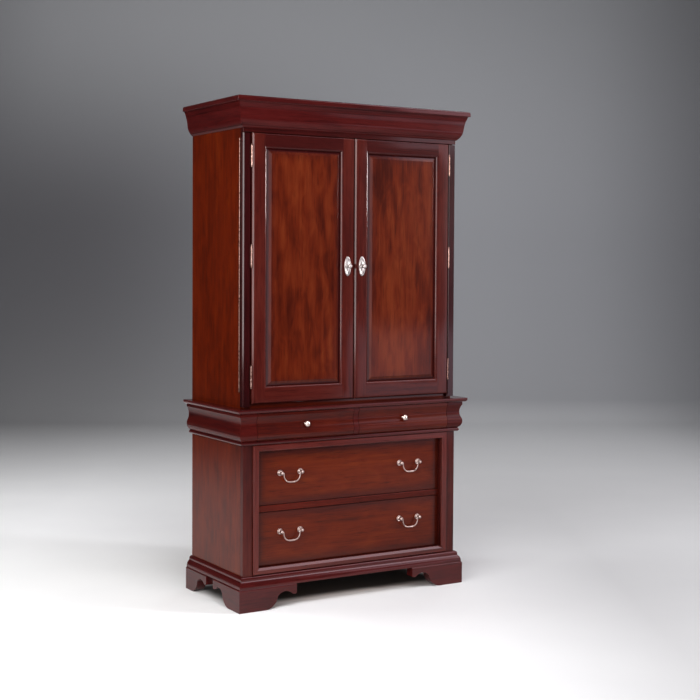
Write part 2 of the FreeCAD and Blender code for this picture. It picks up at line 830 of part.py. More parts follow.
# Bottom of the cabinet, with a threshold that runs forward between the pilasters.
threshold_half = half - dim.pilaster_width - dim.threshold_end_gap
bottom_top = door_foot - dim.door_sill_gap
threshold_front = pilaster_back - dim.threshold_setback
keep("upper_bottom", prism("upper_bottom_board", "XY_Plane", [
    (-inner_half, inside_back), (-inner_half, upper_side_front),
    (-threshold_half, upper_side_front), (-threshold_half, threshold_front),
    (threshold_half, threshold_front), (threshold_half, upper_side_front),
    (inner_half, upper_side_front), (inner_half, inside_back),
], waist_top, bottom_top - waist_top))
upper_top_height = head_foot + dim.shelf_thickness
keep("upper_top", block("upper_top_board", (-inner_half, inner_half),
                        (upper_side_front, inside_back), (head_foot, upper_top_height)))
keep("head_rail", block("head_rail_board", (-half, half), (upper_face, upper_side_front),
                        (head_foot, crown_top)))
back_board = block("upper_back_board", (-inner_half, inner_half), (inside_back, rear),
                   (waist_top, crown_top))
cable_hole = rod("cable_hole", dim.cable_hole_radius, dim.back_thickness * 3, 0,
                 inside_back - dim.back_thickness, waist_top + dim.cable_hole_rise, "y")
keep("upper_back", cut("upper_back_cut", back_board, cable_hole))

# Magnetic catches under the cabinet's top, one behind the head of each door.
door_back = upper_face - dim.door_proud + dim.frame_thickness
catch_inner = dim.door_gap + dim.catch_inset
catch_front = door_back + dim.catch_gap
catch_foot = head_foot - dim.catch_height
catch = block("right_catch", (catch_inner, catch_inner + dim.catch_length),
              (catch_front, catch_front + dim.catch_depth), (catch_foot, head_foot))
keep("door_catches", grouped("door_catch_set", [catch, mirrored("left_catch", catch)]))


# ---------------------------------------------------------------- hinge leaves
def hinge_leaf(name, plate, bridge, pin, radius, bore, foot, height, knuckle, first, count):
    """One leaf: a plate, and knuckles round the pin joined to it by a bridge.

    plate and bridge are ((low x, high x), (low y, high y)) rectangles, pin is the axis (x, y).
    Knuckles are knuckle long, start first above the leaf's foot and repeat at every second one.
    """
    def rectangle(spans):
        (left, right), (front, back) = spans
        return [(left, front), (right, front), (right, back), (left, back)]

    body = new_body(name)
    plate_sketch = new_sketch(body, "XY_Plane", f"{name}_plate_outline")
    draw(plate_sketch, rectangle(plate))
    pad(body, plate_sketch, f"{name}_plate", height)
    gap = dim.knuckle_gap
    bridge_sketch = new_sketch(body, "XY_Plane", f"{name}_bridge_outline", first + gap)
    draw(bridge_sketch, rectangle(bridge))
    bridge_pad = pad(body, bridge_sketch, f"{name}_bridge", knuckle - gap * 2)
    barrel_sketch = new_sketch(body, "XY_Plane", f"{name}_barrel_outline", first + gap)
    draw_circle(barrel_sketch, pin, radius)
    barrel = pad(body, barrel_sketch, f"{name}_barrel", knuckle - gap * 2)
    if count > 1:
        document.recompute()
        row = body.newObject("PartDesign::LinearPattern", f"{name}_knuckles")
        row.Originals = [bridge_pad, barrel]
        row.Direction = (barrel_sketch, ["N_Axis"])
        row.Occurrences = int(count)
        row.Length = value_of(knuckle) * 2 * (count - 1)
        bind(row, "Length", knuckle * (2 * (count - 1)))
        body.Tip = row
    bore_sketch = new_sketch(body, "XY_Plane", f"{name}_bore_outline")
    draw_circle(bore_sketch, pin, bore)
    pocket = body.newObject("PartDesign::Pocket", f"{name}_bore")
    pocket.Profile = bore_sketch
    pocket.Length = value_of(height)
    bind(pocket, "Length", height)
    pocket.Reversed = True
    body.Tip = pocket
    return move_to(body, z=foot)


# Continuous hinges: one leaf on the front edge of the case side, the other behind the pilaster,
# on a pin just outside the case.
piano_x = half + dim.piano_knuckle_radius
piano_y = pilaster_back + dim.leaf_room / 2
piano_foot = door_foot + dim.piano_foot_gap
piano_length = door_top - dim.piano_head_gap - piano_foot
knuckle_length = piano_length / KNUCKLES
leaf_x = (half - dim.piano_leaf_width, half)
bridge_x = (half - dim.piano_leaf, piano_x - dim.piano_pin_radius - dim.piano_pin_cover)
case_leaf_y = (upper_side_front - dim.piano_leaf, upper_side_front)
pilaster_leaf_y = (pilaster_back, pilaster_back + dim.piano_leaf)
piano_bore = dim.piano_pin_radius + dim.running_clearance
piano_case_leaf = hinge_leaf(
    "piano_case_leaf", (leaf_x, case_leaf_y), (bridge_x, case_leaf_y), (piano_x, piano_y),
    dim.piano_knuckle_radius, piano_bore, piano_foot, piano_length, knuckle_length,
    0, KNUCKLES // 2 + 1)
keep("piano_case_leaves", grouped("piano_case_leaf_pair", [
    piano_case_leaf, mirrored("piano_case_leaf_left", piano_case_leaf)]))
piano_pilaster_leaf = hinge_leaf(
    "piano_pilaster_leaf", (leaf_x, pilaster_leaf_y), (bridge_x, pilaster_leaf_y),
    (piano_x, piano_y), dim.piano_knuckle_radius, piano_bore, piano_foot, piano_length,
    knuckle_length, knuckle_length, KNUCKLES // 2)
piano_pin = rod("piano_pin", dim.piano_pin_radius, piano_length, piano_x, piano_y, piano_foot)
keep_pair("piano_leaf", grouped("right_piano_leaf_pieces", [piano_pilaster_leaf, piano_pin]))

# Pilasters: plain boards on the continuous hinges, their outer front arris rounded.
pilaster_inner = half - dim.pilaster_width
pilaster_foot = waist_top + dim.pilaster_foot_gap
pilaster_top = head_foot - dim.head_gap
pilaster = prism("right_pilaster_board", "XY_Plane", [
    (pilaster_inner, upper_face), (half, upper_face), (half, pilaster_back),
    (pilaster_inner, pilaster_back),
], pilaster_foot, pilaster_top - pilaster_foot)
round_edges(pilaster, dim.pilaster_radius, lambda box: (
    box.ZLength > 100 and box.XMin > half.value - 1 and box.YMax < upper_face.value + 1))
keep_pair("pilaster", pilaster)

# Butt hinges: three to a door, the pin in front of the gap between door and pilaster.
door_outer = pilaster_inner - dim.door_hinge_gap
butt_x = door_outer + dim.butt_knuckle_radius + dim.butt_side_gap
butt_y = upper_face - dim.butt_stand_out
butt_knuckle = dim.butt_height / 5
door_leaf_x = (door_outer, door_outer + dim.butt_leaf)
pilaster_leaf_x = (pilaster_inner - dim.butt_leaf, pilaster_inner)
leaf_front = butt_y + dim.butt_leaf_stop
leaf_back = butt_y + dim.butt_leaf_tail
bridge_back = leaf_front + dim.butt_leaf
butt_bore = dim.butt_pin_radius + dim.running_clearance
butt_middles = (door_foot + dim.butt_foot_drop,
                door_foot + (door_top - door_foot) * MIDDLE_BUTT_SHARE,
                door_top - dim.butt_head_drop)
door_leaves, pilaster_leaves = [], []
for number, height in enumerate(butt_middles):
    foot = height - dim.butt_height / 2
    door_leaves.append(hinge_leaf(
        f"butt_door_leaf_{number}",
        (door_leaf_x, (leaf_front, leaf_back)),
        ((door_outer + dim.butt_bridge_thinning, door_leaf_x[1]), (butt_y, bridge_back)),
        (butt_x, butt_y), dim.butt_knuckle_radius, butt_bore, foot, dim.butt_height,
        butt_knuckle, butt_knuckle, 2))
    pilaster_leaves.append(hinge_leaf(
        f"butt_pilaster_leaf_{number}",
        (pilaster_leaf_x, (leaf_front, leaf_back + dim.butt_leaf_stop)),
        (pilaster_leaf_x, (butt_y + dim.butt_pin_radius + dim.butt_bridge_thinning, bridge_back)),
        (butt_x, butt_y), dim.butt_knuckle_radius, butt_bore, foot, dim.butt_height,
        butt_knuckle, 0, 3))
    tip = dim.butt_ball_radius * 0.9
    pin = rod(f"butt_pin_{number}", dim.butt_pin_radius, dim.butt_height, butt_x, butt_y, foot)
    tips = [ball(f"butt_tip_{number}_{end}", dim.butt_ball_radius, butt_x, butt_y, z)
            for end, z in enumerate((foot - tip, foot + dim.butt_height + tip))]
    door_leaves.append(fused(f"butt_pin_with_tips_{number}", [pin] + tips))
keep_pair("door_hinge_leaves", grouped("right_door_leaves", door_leaves))
keep_pair("pilaster_hinge_leaves", grouped("right_pilaster_leaves", pilaster_leaves))

# ---------------------------------------------------------------- doors
door_face = upper_face - dim.door_proud
door_y = (door_face, door_back)
light_left = dim.door_gap + dim.stile_width
light_right = door_outer - dim.stile_width
light_foot = door_foot + dim.bottom_rail_width
light_top = door_top - dim.top_rail_width


def door_board(name, x, z):
    """A stile or rail, its edges on the door's outline rounded at the front."""
    board = prism(name, "XZ_Plane", [(x[0], z[0]), (x[1], z[0]), (x[1], z[1]), (x[0], z[1])],
                  door_back, dim.frame_thickness)
    near = 0.5

    def on_outline(box):
        beside = box.XLength < near and (abs(box.XMin - dim.door_gap.value) < near
                                         or abs(box.XMin - door_outer.value) < near)
        level = box.ZLength < near and (abs(box.ZMin - door_foot.value) < near
                                        or abs(box.ZMin - door_top.value) < near)
        return box.YMax < door_face.value + near and (beside or level)

    return round_edges(board, dim.door_edge_radius, on_outline)


# The inner edge of the frame: a flat quarter round that slopes to the panel, open behind it.
sticking_profile = [
    (0, -dim.panel_rebate),
    (0, 0),
    Via((dim.sticking_width * 0.62, dim.sticking_drop * -0.3)),
    (dim.sticking_width, -dim.sticking_drop),
    (dim.sticking_width, -dim.panel_rebate),
]
door_spans = ((light_left, light_right), (light_foot, light_top))
door_boards = {
    "left": ((dim.door_gap, light_left), (door_foot, door_top)),
    "right": ((light_right, door_outer), (door_foot, door_top)),
    "foot": ((light_left, light_right), (door_foot, light_foot)),
    "head": ((light_left, light_right), (light_top, door_top)),
}
frame_members = []
for side, (x, z) in door_boards.items():
    board = door_board(f"door_board_{side}", x, z)
    sticking = mitred_bar(f"door_sticking_{side}", sticking_profile, door_spans, -1,
                          dim.sticking_width, door_face, side)
    frame_members.append(fused(f"door_member_{side}", [board, sticking]))
keep_pair("door_frame", grouped("right_door_members", frame_members))

# Raised panel: a thin edge behind the frame's lip, a wide bevel and a flat field.
play = dim.panel_play
panel_front = door_face + dim.panel_rebate
panel_back = panel_front + dim.panel_thickness
panel_edge = block("panel_edge", (light_left + play, light_right - play),
                   (panel_front, panel_back), (light_foot + play, light_top - play))
field = dim.sticking_width + dim.panel_bevel
web = dim.sticking_width + dim.panel_bevel_gap
web_front = door_face + dim.sticking_drop + dim.panel_web_sink
bevel = document.addObject("Part::Wedge", "panel_bevel_wedge")
bevel_bounds = {
    "Xmin": light_left + field, "Xmax": light_right - field,
    "Zmin": light_foot + field, "Zmax": light_top - field,
    "X2min": light_left + web, "X2max": light_right - web,
    "Z2min": light_foot + web, "Z2max": light_top - web,
    "Ymin": door_face + dim.panel_sink + dim.panel_field_step, "Ymax": web_front,
}
for bound, length in bevel_bounds.items():
    setattr(bevel, bound, value_of(length))
    bind(bevel, bound, length)
panel_web = block("panel_web", (light_left + web, light_right - web), (web_front, panel_back),
                  (light_foot + web, light_top - web))
panel_field = block("panel_field", (light_left + field, light_right - field),
                    (door_face + dim.panel_sink, panel_back),
                    (light_foot + field, light_top - field))
keep_pair("door_panel", fused("right_panel", [panel_edge, panel_web, bevel, panel_field]))


# Door pull: a pointed oval plate with a raised rim, and an egg-shaped knob on a short neck.
def pointed_oval(width, height):
    return [(0, height / 2), Via((width / 2, 0)),
            (0, -height / 2), Via((-width / 2, 0))]


rim = dim.door_plate_rim
pull_height = door_foot + (door_top - door_foot) * DOOR_PULL_SHARE
plate = prism("door_plate_slab", "XZ_Plane",
              pointed_oval(dim.door_plate_width, dim.door_plate_height),
              0, dim.door_plate_thickness)
recess = prism("door_plate_recess", "XZ_Plane",
               pointed_oval(dim.door_plate_width - rim * 2, dim.door_plate_height - rim * 5),
               -dim.door_plate_floor, dim.door_plate_thickness)
door_plate = move_to(cut("door_plate", plate, recess), dim.door_pull_spread, door_face, pull_height)
neck_radius = dim.door_knob_radius * 0.5
door_knob = turned("door_knob", [
    (0, 0),
    (neck_radius * 1.3, 0),
    (neck_radius * 1.3, -dim.door_knob_length * 0.1),
    Via((neck_radius * 0.85, -dim.door_knob_length * 0.22)),
    (neck_radius, -dim.door_knob_length * 0.38),
    Via((dim.door_knob_radius, -dim.door_knob_length * 0.66)),
    (0, -dim.door_knob_length),
], dim.door_pull_spread, door_face - dim.door_plate_floor, pull_height)
keep_pair("door_pull", grouped("right_door_pull_pieces", [door_plate, door_knob]))

# ---------------------------------------------------------------- frieze drawers
frieze_front_span = (dim.frieze_block_half + dim.drawer_gap, block_inner - dim.drawer_gap)
frieze_front_back = lower_face - dim.frieze_front_clear
frieze_drawer_zone = block("frieze_drawer_zone", frieze_front_span,
                           (lower_face - dim.frieze_reach, frieze_front_back),
                           (frieze_foot + dim.drawer_gap, dim.lower_top - dim.drawer_gap))
frieze_knob_face = lower_face - dim.frieze_hollow
frieze_knob_x = (dim.frieze_block_half + block_inner) / 2
frieze_knob_z = frieze_foot + dim.frieze_knob_rise
knob_seat = rod("frieze_knob_seat", dim.frieze_knob_radius * 0.66, dim.frieze_reach,
                frieze_knob_x, frieze_knob_face - dim.frieze_reach, frieze_knob_z, "y")
keep_pair("frieze_drawer_front", cut(
    "right_frieze_front", common("right_frieze_blank", frieze_front, frieze_drawer_zone),
    knob_seat))


def drawer_box(name, x, front, back, z):
    """An open box of five boards: sub-front, back, two sides and a bottom between them."""
    side = dim.box_side
    inner_x = (x[0] + side, x[1] - side)
    inner_y = (front + side, back - side)
    bottom = z[0] + dim.box_bottom_rise
    return grouped(name, [
        block(f"{name}_front", inner_x, (front, inner_y[0]), z),
        block(f"{name}_back", inner_x, (inner_y[1], back), z),
        block(f"{name}_left", (x[0], inner_x[0]), (front, back), z),
        block(f"{name}_right", (inner_x[1], x[1]), (front, back), z),
        block(f"{name}_bottom", inner_x, inner_y, (bottom, bottom + dim.box_bottom)),
    ])


frieze_box_foot = frieze_foot + dim.deck_play
keep_pair("frieze_drawer_box", drawer_box(
    "right_frieze_box", (frieze_box_inner, frieze_box_outer), frieze_front_back,
    ahead(dim.box_rear_gap), (frieze_box_foot, frieze_box_foot + dim.frieze_box_height)))

# Frieze knobs: mushroom heads on a waisted stem.
knob_radius = dim.frieze_knob_radius
knob_length = dim.frieze_knob_length
frieze_knob = turned("right_frieze_knob", [
    (0, 0),
    (knob_radius * 0.62, 0),
    Via((knob_radius * 0.38, -knob_length * 0.26)),
    (knob_radius * 0.5, -knob_length * 0.5),
    (knob_radius * 0.92, -knob_length * 0.58),
    Via((knob_radius, -knob_length * 0.72)),
    (knob_radius * 0.84, -knob_length * 0.86),
    Via((knob_radius * 0.45, -knob_length * 0.97)),
    (0, -knob_length),
], frieze_knob_x, frieze_knob_face, frieze_knob_z)
keep_pair("frieze_knob", frieze_knob)

# ---------------------------------------------------------------- wide drawers
drawer_half = opening_half - dim.drawer_gap
bail_spread = opening_half * BAIL_SPREAD_SHARE
member = dim.slide_member
rail_outer = opening_half - dim.slide_wall_gap
carrier_outer = rail_outer - member - dim.slide_play
runner_outer = carrier_outer - member - dim.slide_play
box_half = runner_outer - member
slide_rear = inside_back - dim.slide_rear_gap
slide_front = slide_rear - dim.slide_length
drawer_levels = {
    "lower": (opening_foot + dim.drawer_gap, rail_foot - dim.drawer_gap,
              opening_foot + opening_height * LOWER_BAIL_SHARE),
    "upper": (rail_top + dim.drawer_gap, opening_top - dim.drawer_gap,
              opening_foot + opening_height * UPPER_BAIL_SHARE),
}


def slide_bar(name, outer, front, foot, steps):
    """A member of a ball-bearing slide on the right, lower by some steps at its top and foot."""
    step = dim.slide_step * steps
    return block(name, (outer - member, outer), (front, slide_rear),
                 (foot + step, foot + dim.slide_height - step))


def bail_post(name, height, x, cheek_side):
    """A rosette, a neck and a ball head with a flat bored cheek where the bail's tip enters."""
    radius = dim.post_head_radius
    neck = radius * 0.55
    blank = turned(f"{name}_blank", [
        (0, 0),
        (dim.rosette_radius, 0),
        (dim.rosette_radius, -dim.rosette_thickness * 0.4),
        Via((dim.rosette_radius * 0.72, -dim.rosette_thickness)),
        (neck, -dim.rosette_thickness * 1.3),
        (neck, -(dim.post_stand - radius * 0.8)),
        Via((radius * 0.95, -(dim.post_stand - radius * 0.3))),
        (radius * 0.98, -(dim.post_stand + radius * 0.2)),
        Via((radius * 0.66, -(dim.post_stand + radius * 0.75))),
        (0, -(dim.post_stand + radius)),
    ], x, drawer_face, height)
    cheek_plane = x + dim.cheek * cheek_side
    beyond = x + radius * (2 * cheek_side)
    low, high = (cheek_plane, beyond) if cheek_side > 0 else (beyond, cheek_plane)
    off_cut = block(f"{name}_off_cut", (low, high),
                    (drawer_face - dim.post_stand * 2, drawer_face - dim.rosette_thickness * 1.5),
                    (height - radius * 1.5, height + radius * 1.5))
    bore_start = cheek_plane if cheek_side < 0 else cheek_plane - dim.cheek
    bore = rod(f"{name}_bore", dim.bail_tip_radius + dim.running_clearance, dim.cheek,
               bore_start, drawer_face - dim.post_stand, height, "x")
    return cut(name, cut(f"{name}_flat", blank, off_cut), bore)


def bail(name, height, x):
    """A hanging bail: a rod bent down, across and up, with a tip that enters each post."""
    rod_radius = dim.bail_rod / 2
    leg = dim.post_spacing / 2 - dim.cheek - rod_radius - dim.bail_eye_gap
    turn = dim.bail_corner
    bend = 1 - COS45
    body = new_body(f"{name}_bent_rod")
    section = new_sketch(body, "XY_Plane", f"{name}_section")
    draw_circle(section, (-leg, 0), rod_radius)
    path = new_sketch(body, "XZ_Plane", f"{name}_path")
    low = -dim.bail_drop
    corners = [(-leg, 0), (-leg, low + turn), (-leg + turn, low), (leg - turn, low),
               (leg, low + turn), (leg, 0)]
    middle_z = low + turn * bend
    middles = {1: (-leg + turn * bend, middle_z), 3: (leg - turn * bend, middle_z)}
    ends = []
    for number, (start, stop) in enumerate(zip(corners, corners[1:])):
        ends.append(add_edge(path, start, middles.get(number), stop))
        pin_point(path, *ends[-1][:2], start)
    pin_point(path, ends[-1][0], ends[-1][2], corners[-1])
    for (line, _, last), (following, first, _) in zip(ends, ends[1:]):
        path.addConstraint(Sketcher.Constraint("Coincident", line, last, following, first))
    for number, middle in middles.items():
        pass_through(path, ends[number][0], middle)
    document.recompute()
    pipe = body.newObject("PartDesign::AdditivePipe", f"{name}_rod")
    pipe.Profile = section
    pipe.Spine = (path, [])
    pipe.Transition = "Transformed"
    axis_y = drawer_face - dim.post_stand
    move_to(body, x, axis_y, height)
    tip_length = rod_radius + dim.bail_tip_reach
    pieces = [body]
    for side in (-1, 1):
        leg_x = x + leg * side
        pieces.append(ball(f"{name}_eye_{side + 1}", rod_radius * 1.04, leg_x, axis_y, height))
        start = leg_x if side > 0 else leg_x - tip_length
        pieces.append(rod(f"{name}_tip_{side + 1}", dim.bail_tip_radius, tip_length, start, axis_y,
                          height, "x"))
    return fused(name, pieces)


slide_rails = []
for level, (foot, top, bail_height) in drawer_levels.items():
    front = prism(f"{level}_drawer_front_board", "XZ_Plane", [
        (-drawer_half, foot), (drawer_half, foot), (drawer_half, top), (-drawer_half, top),
    ], drawer_front_back, dim.drawer_front_thickness)
    keep(f"{level}_drawer_front", front)
    keep(f"{level}_drawer_box", drawer_box(
        f"{level}_box", (-box_half, box_half), drawer_front_back, slide_rear,
        (foot + dim.lower_box_rise, top - dim.lower_box_drop)))

    slide_foot = foot + dim.slide_rise
    plate = dim.slide_plate
    rail = slide_bar(f"{level}_rail", rail_outer, drawer_front_back + dim.slide_front_gap,
                     slide_foot, 0)
    arm_inner = drawer_half + dim.slide_arm_gap
    tab_x = (arm_inner, opening_half + dim.slide_tab_reach)
    tab_z = (slide_foot, slide_foot + dim.slide_height)
    arm = block(f"{level}_rail_arm", (arm_inner, opening_half),
                (face_frame_back, drawer_front_back + dim.slide_arm_reach), tab_z)
    front_tab = block(f"{level}_rail_front_tab", tab_x, (face_frame_back, face_frame_back + plate),
                      tab_z)
    rear_tab = block(f"{level}_rail_rear_tab", tab_x, (inside_back - plate, inside_back), tab_z)
    tail = block(f"{level}_rail_tail", (rail_outer - plate, rail_outer), (slide_rear, inside_back),
                 tab_z)
    rail = fused(f"{level}_rail_piece", [rail, arm, front_tab, rear_tab, tail])
    slide_rails += [rail, mirrored(f"{level}_rail_left", rail)]

    carrier = slide_bar(f"{level}_carrier", carrier_outer, slide_front, slide_foot, 1)
    keep(f"{level}_slide_carriers", grouped(f"{level}_carrier_pair", [
        carrier, mirrored(f"{level}_carrier_left", carrier)]))
    runner = slide_bar(f"{level}_runner", runner_outer, slide_front, slide_foot, 2)
    keep(f"{level}_slide_runners", grouped(f"{level}_runner_pair", [
        runner, mirrored(f"{level}_runner_left", runner)]))

    half_post = dim.post_spacing / 2
    outer_post = bail_post(f"{level}_outer_post", bail_height, bail_spread + half_post, -1)
    inner_post = bail_post(f"{level}_inner_post", bail_height, bail_spread - half_post, 1)
    keep(f"{level}_pull_posts", grouped(f"{level}_post_set", [
        outer_post, inner_post, mirrored(f"{level}_outer_post_left", outer_post),
        mirrored(f"{level}_inner_post_left", inner_post)]))
    right_bail = bail(f"right_bail_{level}", bail_height, bail_spread)
    keep(f"{level}_right_bail", right_bail)
    keep(f"{level}_left_bail", mirrored(f"left_bail_{level}", right_bail))
keep("slide_rails", grouped("slide_rail_set", slide_rails))

# ---------------------------------------------------------------- test and write
document.recompute()
for item in document.Objects:
    if {"Invalid", "Error"} & set(item.State):
        raise RuntimeError(f"{item.Label} failed: {item.State}")
for name, item in nodes.items():
    if item.Shape.isNull() or not item.Shape.isValid() or not item.Shape.Solids:
        raise RuntimeError(f"{name} has no valid shape")

os.makedirs("parts", exist_ok=True)
for name, item in nodes.items():
    item.Shape.exportStep(f"parts/{name}.step")
print(f"{len(nodes)} sub-parts written")
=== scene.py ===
import json
import math

import bpy
from mathutils import Matrix, Vector


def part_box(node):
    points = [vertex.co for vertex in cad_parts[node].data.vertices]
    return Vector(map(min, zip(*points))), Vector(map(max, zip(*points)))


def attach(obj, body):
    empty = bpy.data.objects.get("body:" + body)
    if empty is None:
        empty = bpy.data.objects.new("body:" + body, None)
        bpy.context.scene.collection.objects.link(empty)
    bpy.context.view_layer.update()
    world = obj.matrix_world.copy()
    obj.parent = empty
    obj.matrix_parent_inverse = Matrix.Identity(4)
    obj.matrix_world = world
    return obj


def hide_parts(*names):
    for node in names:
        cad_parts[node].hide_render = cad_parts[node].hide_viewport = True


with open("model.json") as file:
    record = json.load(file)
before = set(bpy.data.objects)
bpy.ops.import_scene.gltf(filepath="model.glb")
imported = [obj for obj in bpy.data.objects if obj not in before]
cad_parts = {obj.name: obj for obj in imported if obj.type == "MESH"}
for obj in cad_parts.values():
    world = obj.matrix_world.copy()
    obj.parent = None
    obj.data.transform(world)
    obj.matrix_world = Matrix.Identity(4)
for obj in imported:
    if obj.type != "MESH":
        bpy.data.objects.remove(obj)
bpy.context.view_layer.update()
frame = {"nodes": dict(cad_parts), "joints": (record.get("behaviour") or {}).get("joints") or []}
nodes = frame["nodes"]


# ---------------------------------------------------------------- bracket feet
# Four ogee-cut bracket feet of solid cherry under the base moulding, mitred at the corners and
# glued to blocks inside. They take the darkest, reddest stain of the whole piece, as all the
# mouldings do, under a clear lacquer that is rubbed to a soft shine.
def new_finish(name):
    """An empty node material, with its output."""
    made = bpy.data.materials.new(name)
    made.use_nodes = True
    made.node_tree.nodes.clear()
    return made, made.node_tree, made.node_tree.nodes.new("ShaderNodeOutputMaterial")


def lay(tree, kind, feeds=(), **settings):
    """A shader node with its settings, its sockets fed by links or by plain values."""
    node = tree.nodes.new("ShaderNode" + kind)
    for key, value in settings.items():
        setattr(node, key, value)
    for socket, feed in dict(feeds).items():
        if isinstance(feed, bpy.types.NodeSocket):
            tree.links.new(feed, node.inputs[socket])
        else:
            node.inputs[socket].default_value = feed
    return node


def sums(tree, operation, first, second=0.0, third=0.0):
    """One step of arithmetic between node values."""
    return lay(tree, "Math", {0: first, 1: second, 2: third}, operation=operation).outputs[0]


def parts_of_place(tree, place):
    """The x, y and z of a place."""
    return lay(tree, "SeparateXYZ", {0: place}).outputs


def mitred_run(node):
    """Where a moulding turns its mitre: 1 on the returns along the sides, 0 on the front run."""
    low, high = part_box(node)

    def turn(tree, place):
        x, y, _ = parts_of_place(tree, place)
        reach = sums(tree, "ADD", sums(tree, "ABSOLUTE", x), y)
        return sums(tree, "GREATER_THAN", reach, high.x + low.y)
    return turn


def stained_cherry(name, light, dark, grain, shift, turn=None, curl=0.35, flame=0.0,
                   coat=0.85, glaze_and_shade=None):
    """Cherry under stain and lacquer: broad tone, curl, growth lines and pores along the grain.

    grain is the axis that the boards run along, or the two axes that turn chooses between.
    shift moves the figure, so that no two boards are alike. curl and flame are the shares of its
    cross figure and its cathedrals. glaze_and_shade is a darker colour and where it lies: on
    drawer fronts and panels a darker glaze, on the doors' top rails painted shade.
    """
    finish, tree, out = new_finish(name)
    place = lay(tree, "TexCoord").outputs["Object"]
    choice = turn(tree, place) if turn else None

    def boards(squeeze):
        ways = []
        for axis in grain:
            scale = [squeeze if axis == other else 1.0 for other in "XYZ"]
            ways.append(lay(tree, "Mapping", {"Vector": place, "Location": (
                1.7 * shift, 0.9 * shift, 2.3 * shift), "Scale": scale}).outputs[0])
        if choice is None:
            return ways[0]
        return lay(tree, "Mix", {0: choice, 4: ways[0], 5: ways[1]},
                   data_type="VECTOR").outputs[1]

    def noise(squeeze, scale, detail=2.0, wander=0.0, coarse=0.5):
        return lay(tree, "TexNoise", {"Vector": boards(squeeze), "Scale": scale, "Detail": detail,
                                      "Distortion": wander, "Roughness": coarse}).outputs[0]

    broad = noise(squeeze=0.3, scale=5.0, detail=1.0)
    curls = noise(squeeze=0.34, scale=24.0, wander=0.9)
    lines = noise(squeeze=0.05, scale=70.0, detail=4.0, wander=0.2, coarse=0.62)
    pits = noise(squeeze=0.022, scale=620.0, detail=1.0)
    broad_share = 0.34
    tone = sums(tree, "MULTIPLY_ADD", broad, broad_share,
                sums(tree, "MULTIPLY", lines, 1.0 - broad_share - curl))
    tone = sums(tree, "MULTIPLY_ADD", curls, curl, tone)
    if flame:
        cone = lay(tree, "TexWave", {
            "Vector": boards(squeeze=0.16), "Scale": 7.0, "Distortion": 6.0, "Detail": 2.0,
            "Detail Scale": 0.8}, wave_type="RINGS", rings_direction="Y").outputs[1]
        tone = sums(tree, "MULTIPLY_ADD", sums(tree, "SUBTRACT", cone, 0.5), flame, tone)
    spread = 0.13
    shade = lay(tree, "MapRange", {"Value": tone, "From Min": 0.5 - spread,
                                   "From Max": 0.5 + spread}).outputs[0]
    redder = (1.08, 0.9, 0.85)
    middle = [0.5 * (a + b) * tint for a, b, tint in zip(light, dark, redder)]
    stain = lay(tree, "ValToRGB", {0: shade})
    stain.color_ramp.elements[0].color = (*dark, 1)
    stain.color_ramp.elements[1].color = (*light, 1)
    stain.color_ramp.elements.new(0.5).color = (*middle, 1)
    stained = stain.outputs[0]
    if glaze_and_shade:
        darker_colour, where = glaze_and_shade
        stained = lay(tree, "Mix", {0: where(tree, place), 6: stained, 7: (*darker_colour, 1)},
                      data_type="RGBA").outputs[2]
    pore = lay(tree, "MapRange", {"Value": pits, "From Min": 0.58, "From Max": 0.70,
                                  "To Min": 1.0, "To Max": 0.6}).outputs[0]
    wood = lay(tree, "Mix", {0: 1.0, 6: stained, 7: pore}, data_type="RGBA",
               blend_type="MULTIPLY").outputs[2]
    lift = sums(tree, "MULTIPLY_ADD", pore, 0.8, lines)
    bump = lay(tree, "Bump", {"Height": lift, "Strength": 0.12, "Distance": 0.0004}).outputs[0]
    matt = lay(tree, "MapRange", {"Value": lines, "From Min": 0.3, "From Max": 0.7,
                                  "To Min": 0.30, "To Max": 0.40}).outputs[0]
    shader = lay(tree, "BsdfPrincipled", {
        "Base Color": wood, "Roughness": matt, "Normal": bump, "IOR": 1.5,
        "Specular IOR Level": 0.04, "Coat Weight": coat, "Coat Roughness": 0.11})
    tree.links.new(shader.outputs[0], out.inputs[0])
    return finish


def wear(finish, *names):
    """Gives CAD pieces their finish."""
    for name in names:
        nodes[name].data.materials.clear()
        nodes[name].data.materials.append(finish)


burgundy = (0.072, 0.0085, 0.0080)
burgundy_dark = (0.038, 0.0040, 0.0042)
foot_finish = stained_cherry("foot_cherry", burgundy, burgundy_dark, "XY", shift=3.1,
                             turn=mitred_run("front_feet"), curl=0.2)
wear(foot_finish, "front_feet", "rear_feet")

# ---------------------------------------------------------------- base moulding
# A stepped ogee of solid cherry that runs round three sides of the lower case, mitred at the
# front corners and glued and pinned to the case.
moulding_finish = stained_cherry("moulding_cherry", burgundy, burgundy_dark, "XY", shift=5.3,
                                 turn=mitred_run("base_moulding"), curl=0.2)
wear(moulding_finish, "base_moulding")


# ---------------------------------------------------------------- lower case
# Two veneered sides with the grain upright, a bottom board and a thin back let into grooves.
# The arrises of the sides are eased with paper before they are lacquered.
touching = 0.00001


def pick(piece):
    """Selects one piece and nothing else."""
    bpy.ops.object.select_all(action="DESELECT")
    piece.select_set(True)
    bpy.context.view_layer.objects.active = piece


def copy_of(node, name):
    """A copy of a CAD piece with its own mesh, alone selected."""
    piece = bpy.data.objects.new(name, nodes[node].data.copy())
    bpy.context.scene.collection.objects.link(piece)
    pick(piece)
    return piece


def merge_corners():
    """Makes one of the corners that touch, all over the piece in edit mode."""
    bpy.ops.mesh.select_all(action="SELECT")
    bpy.ops.mesh.customdata_custom_splitnormals_clear()
    bpy.ops.mesh.remove_doubles(threshold=touching)


def shade_evenly(piece, degrees):
    """Shades a piece smooth across its eased edges, with its broad faces kept flat."""
    bpy.ops.object.shade_smooth_by_angle(angle=math.radians(degrees))
    even = piece.modifiers.new("even_shading", "WEIGHTED_NORMAL")
    even.keep_sharp = True
    bpy.ops.object.modifier_apply(modifier=even.name)


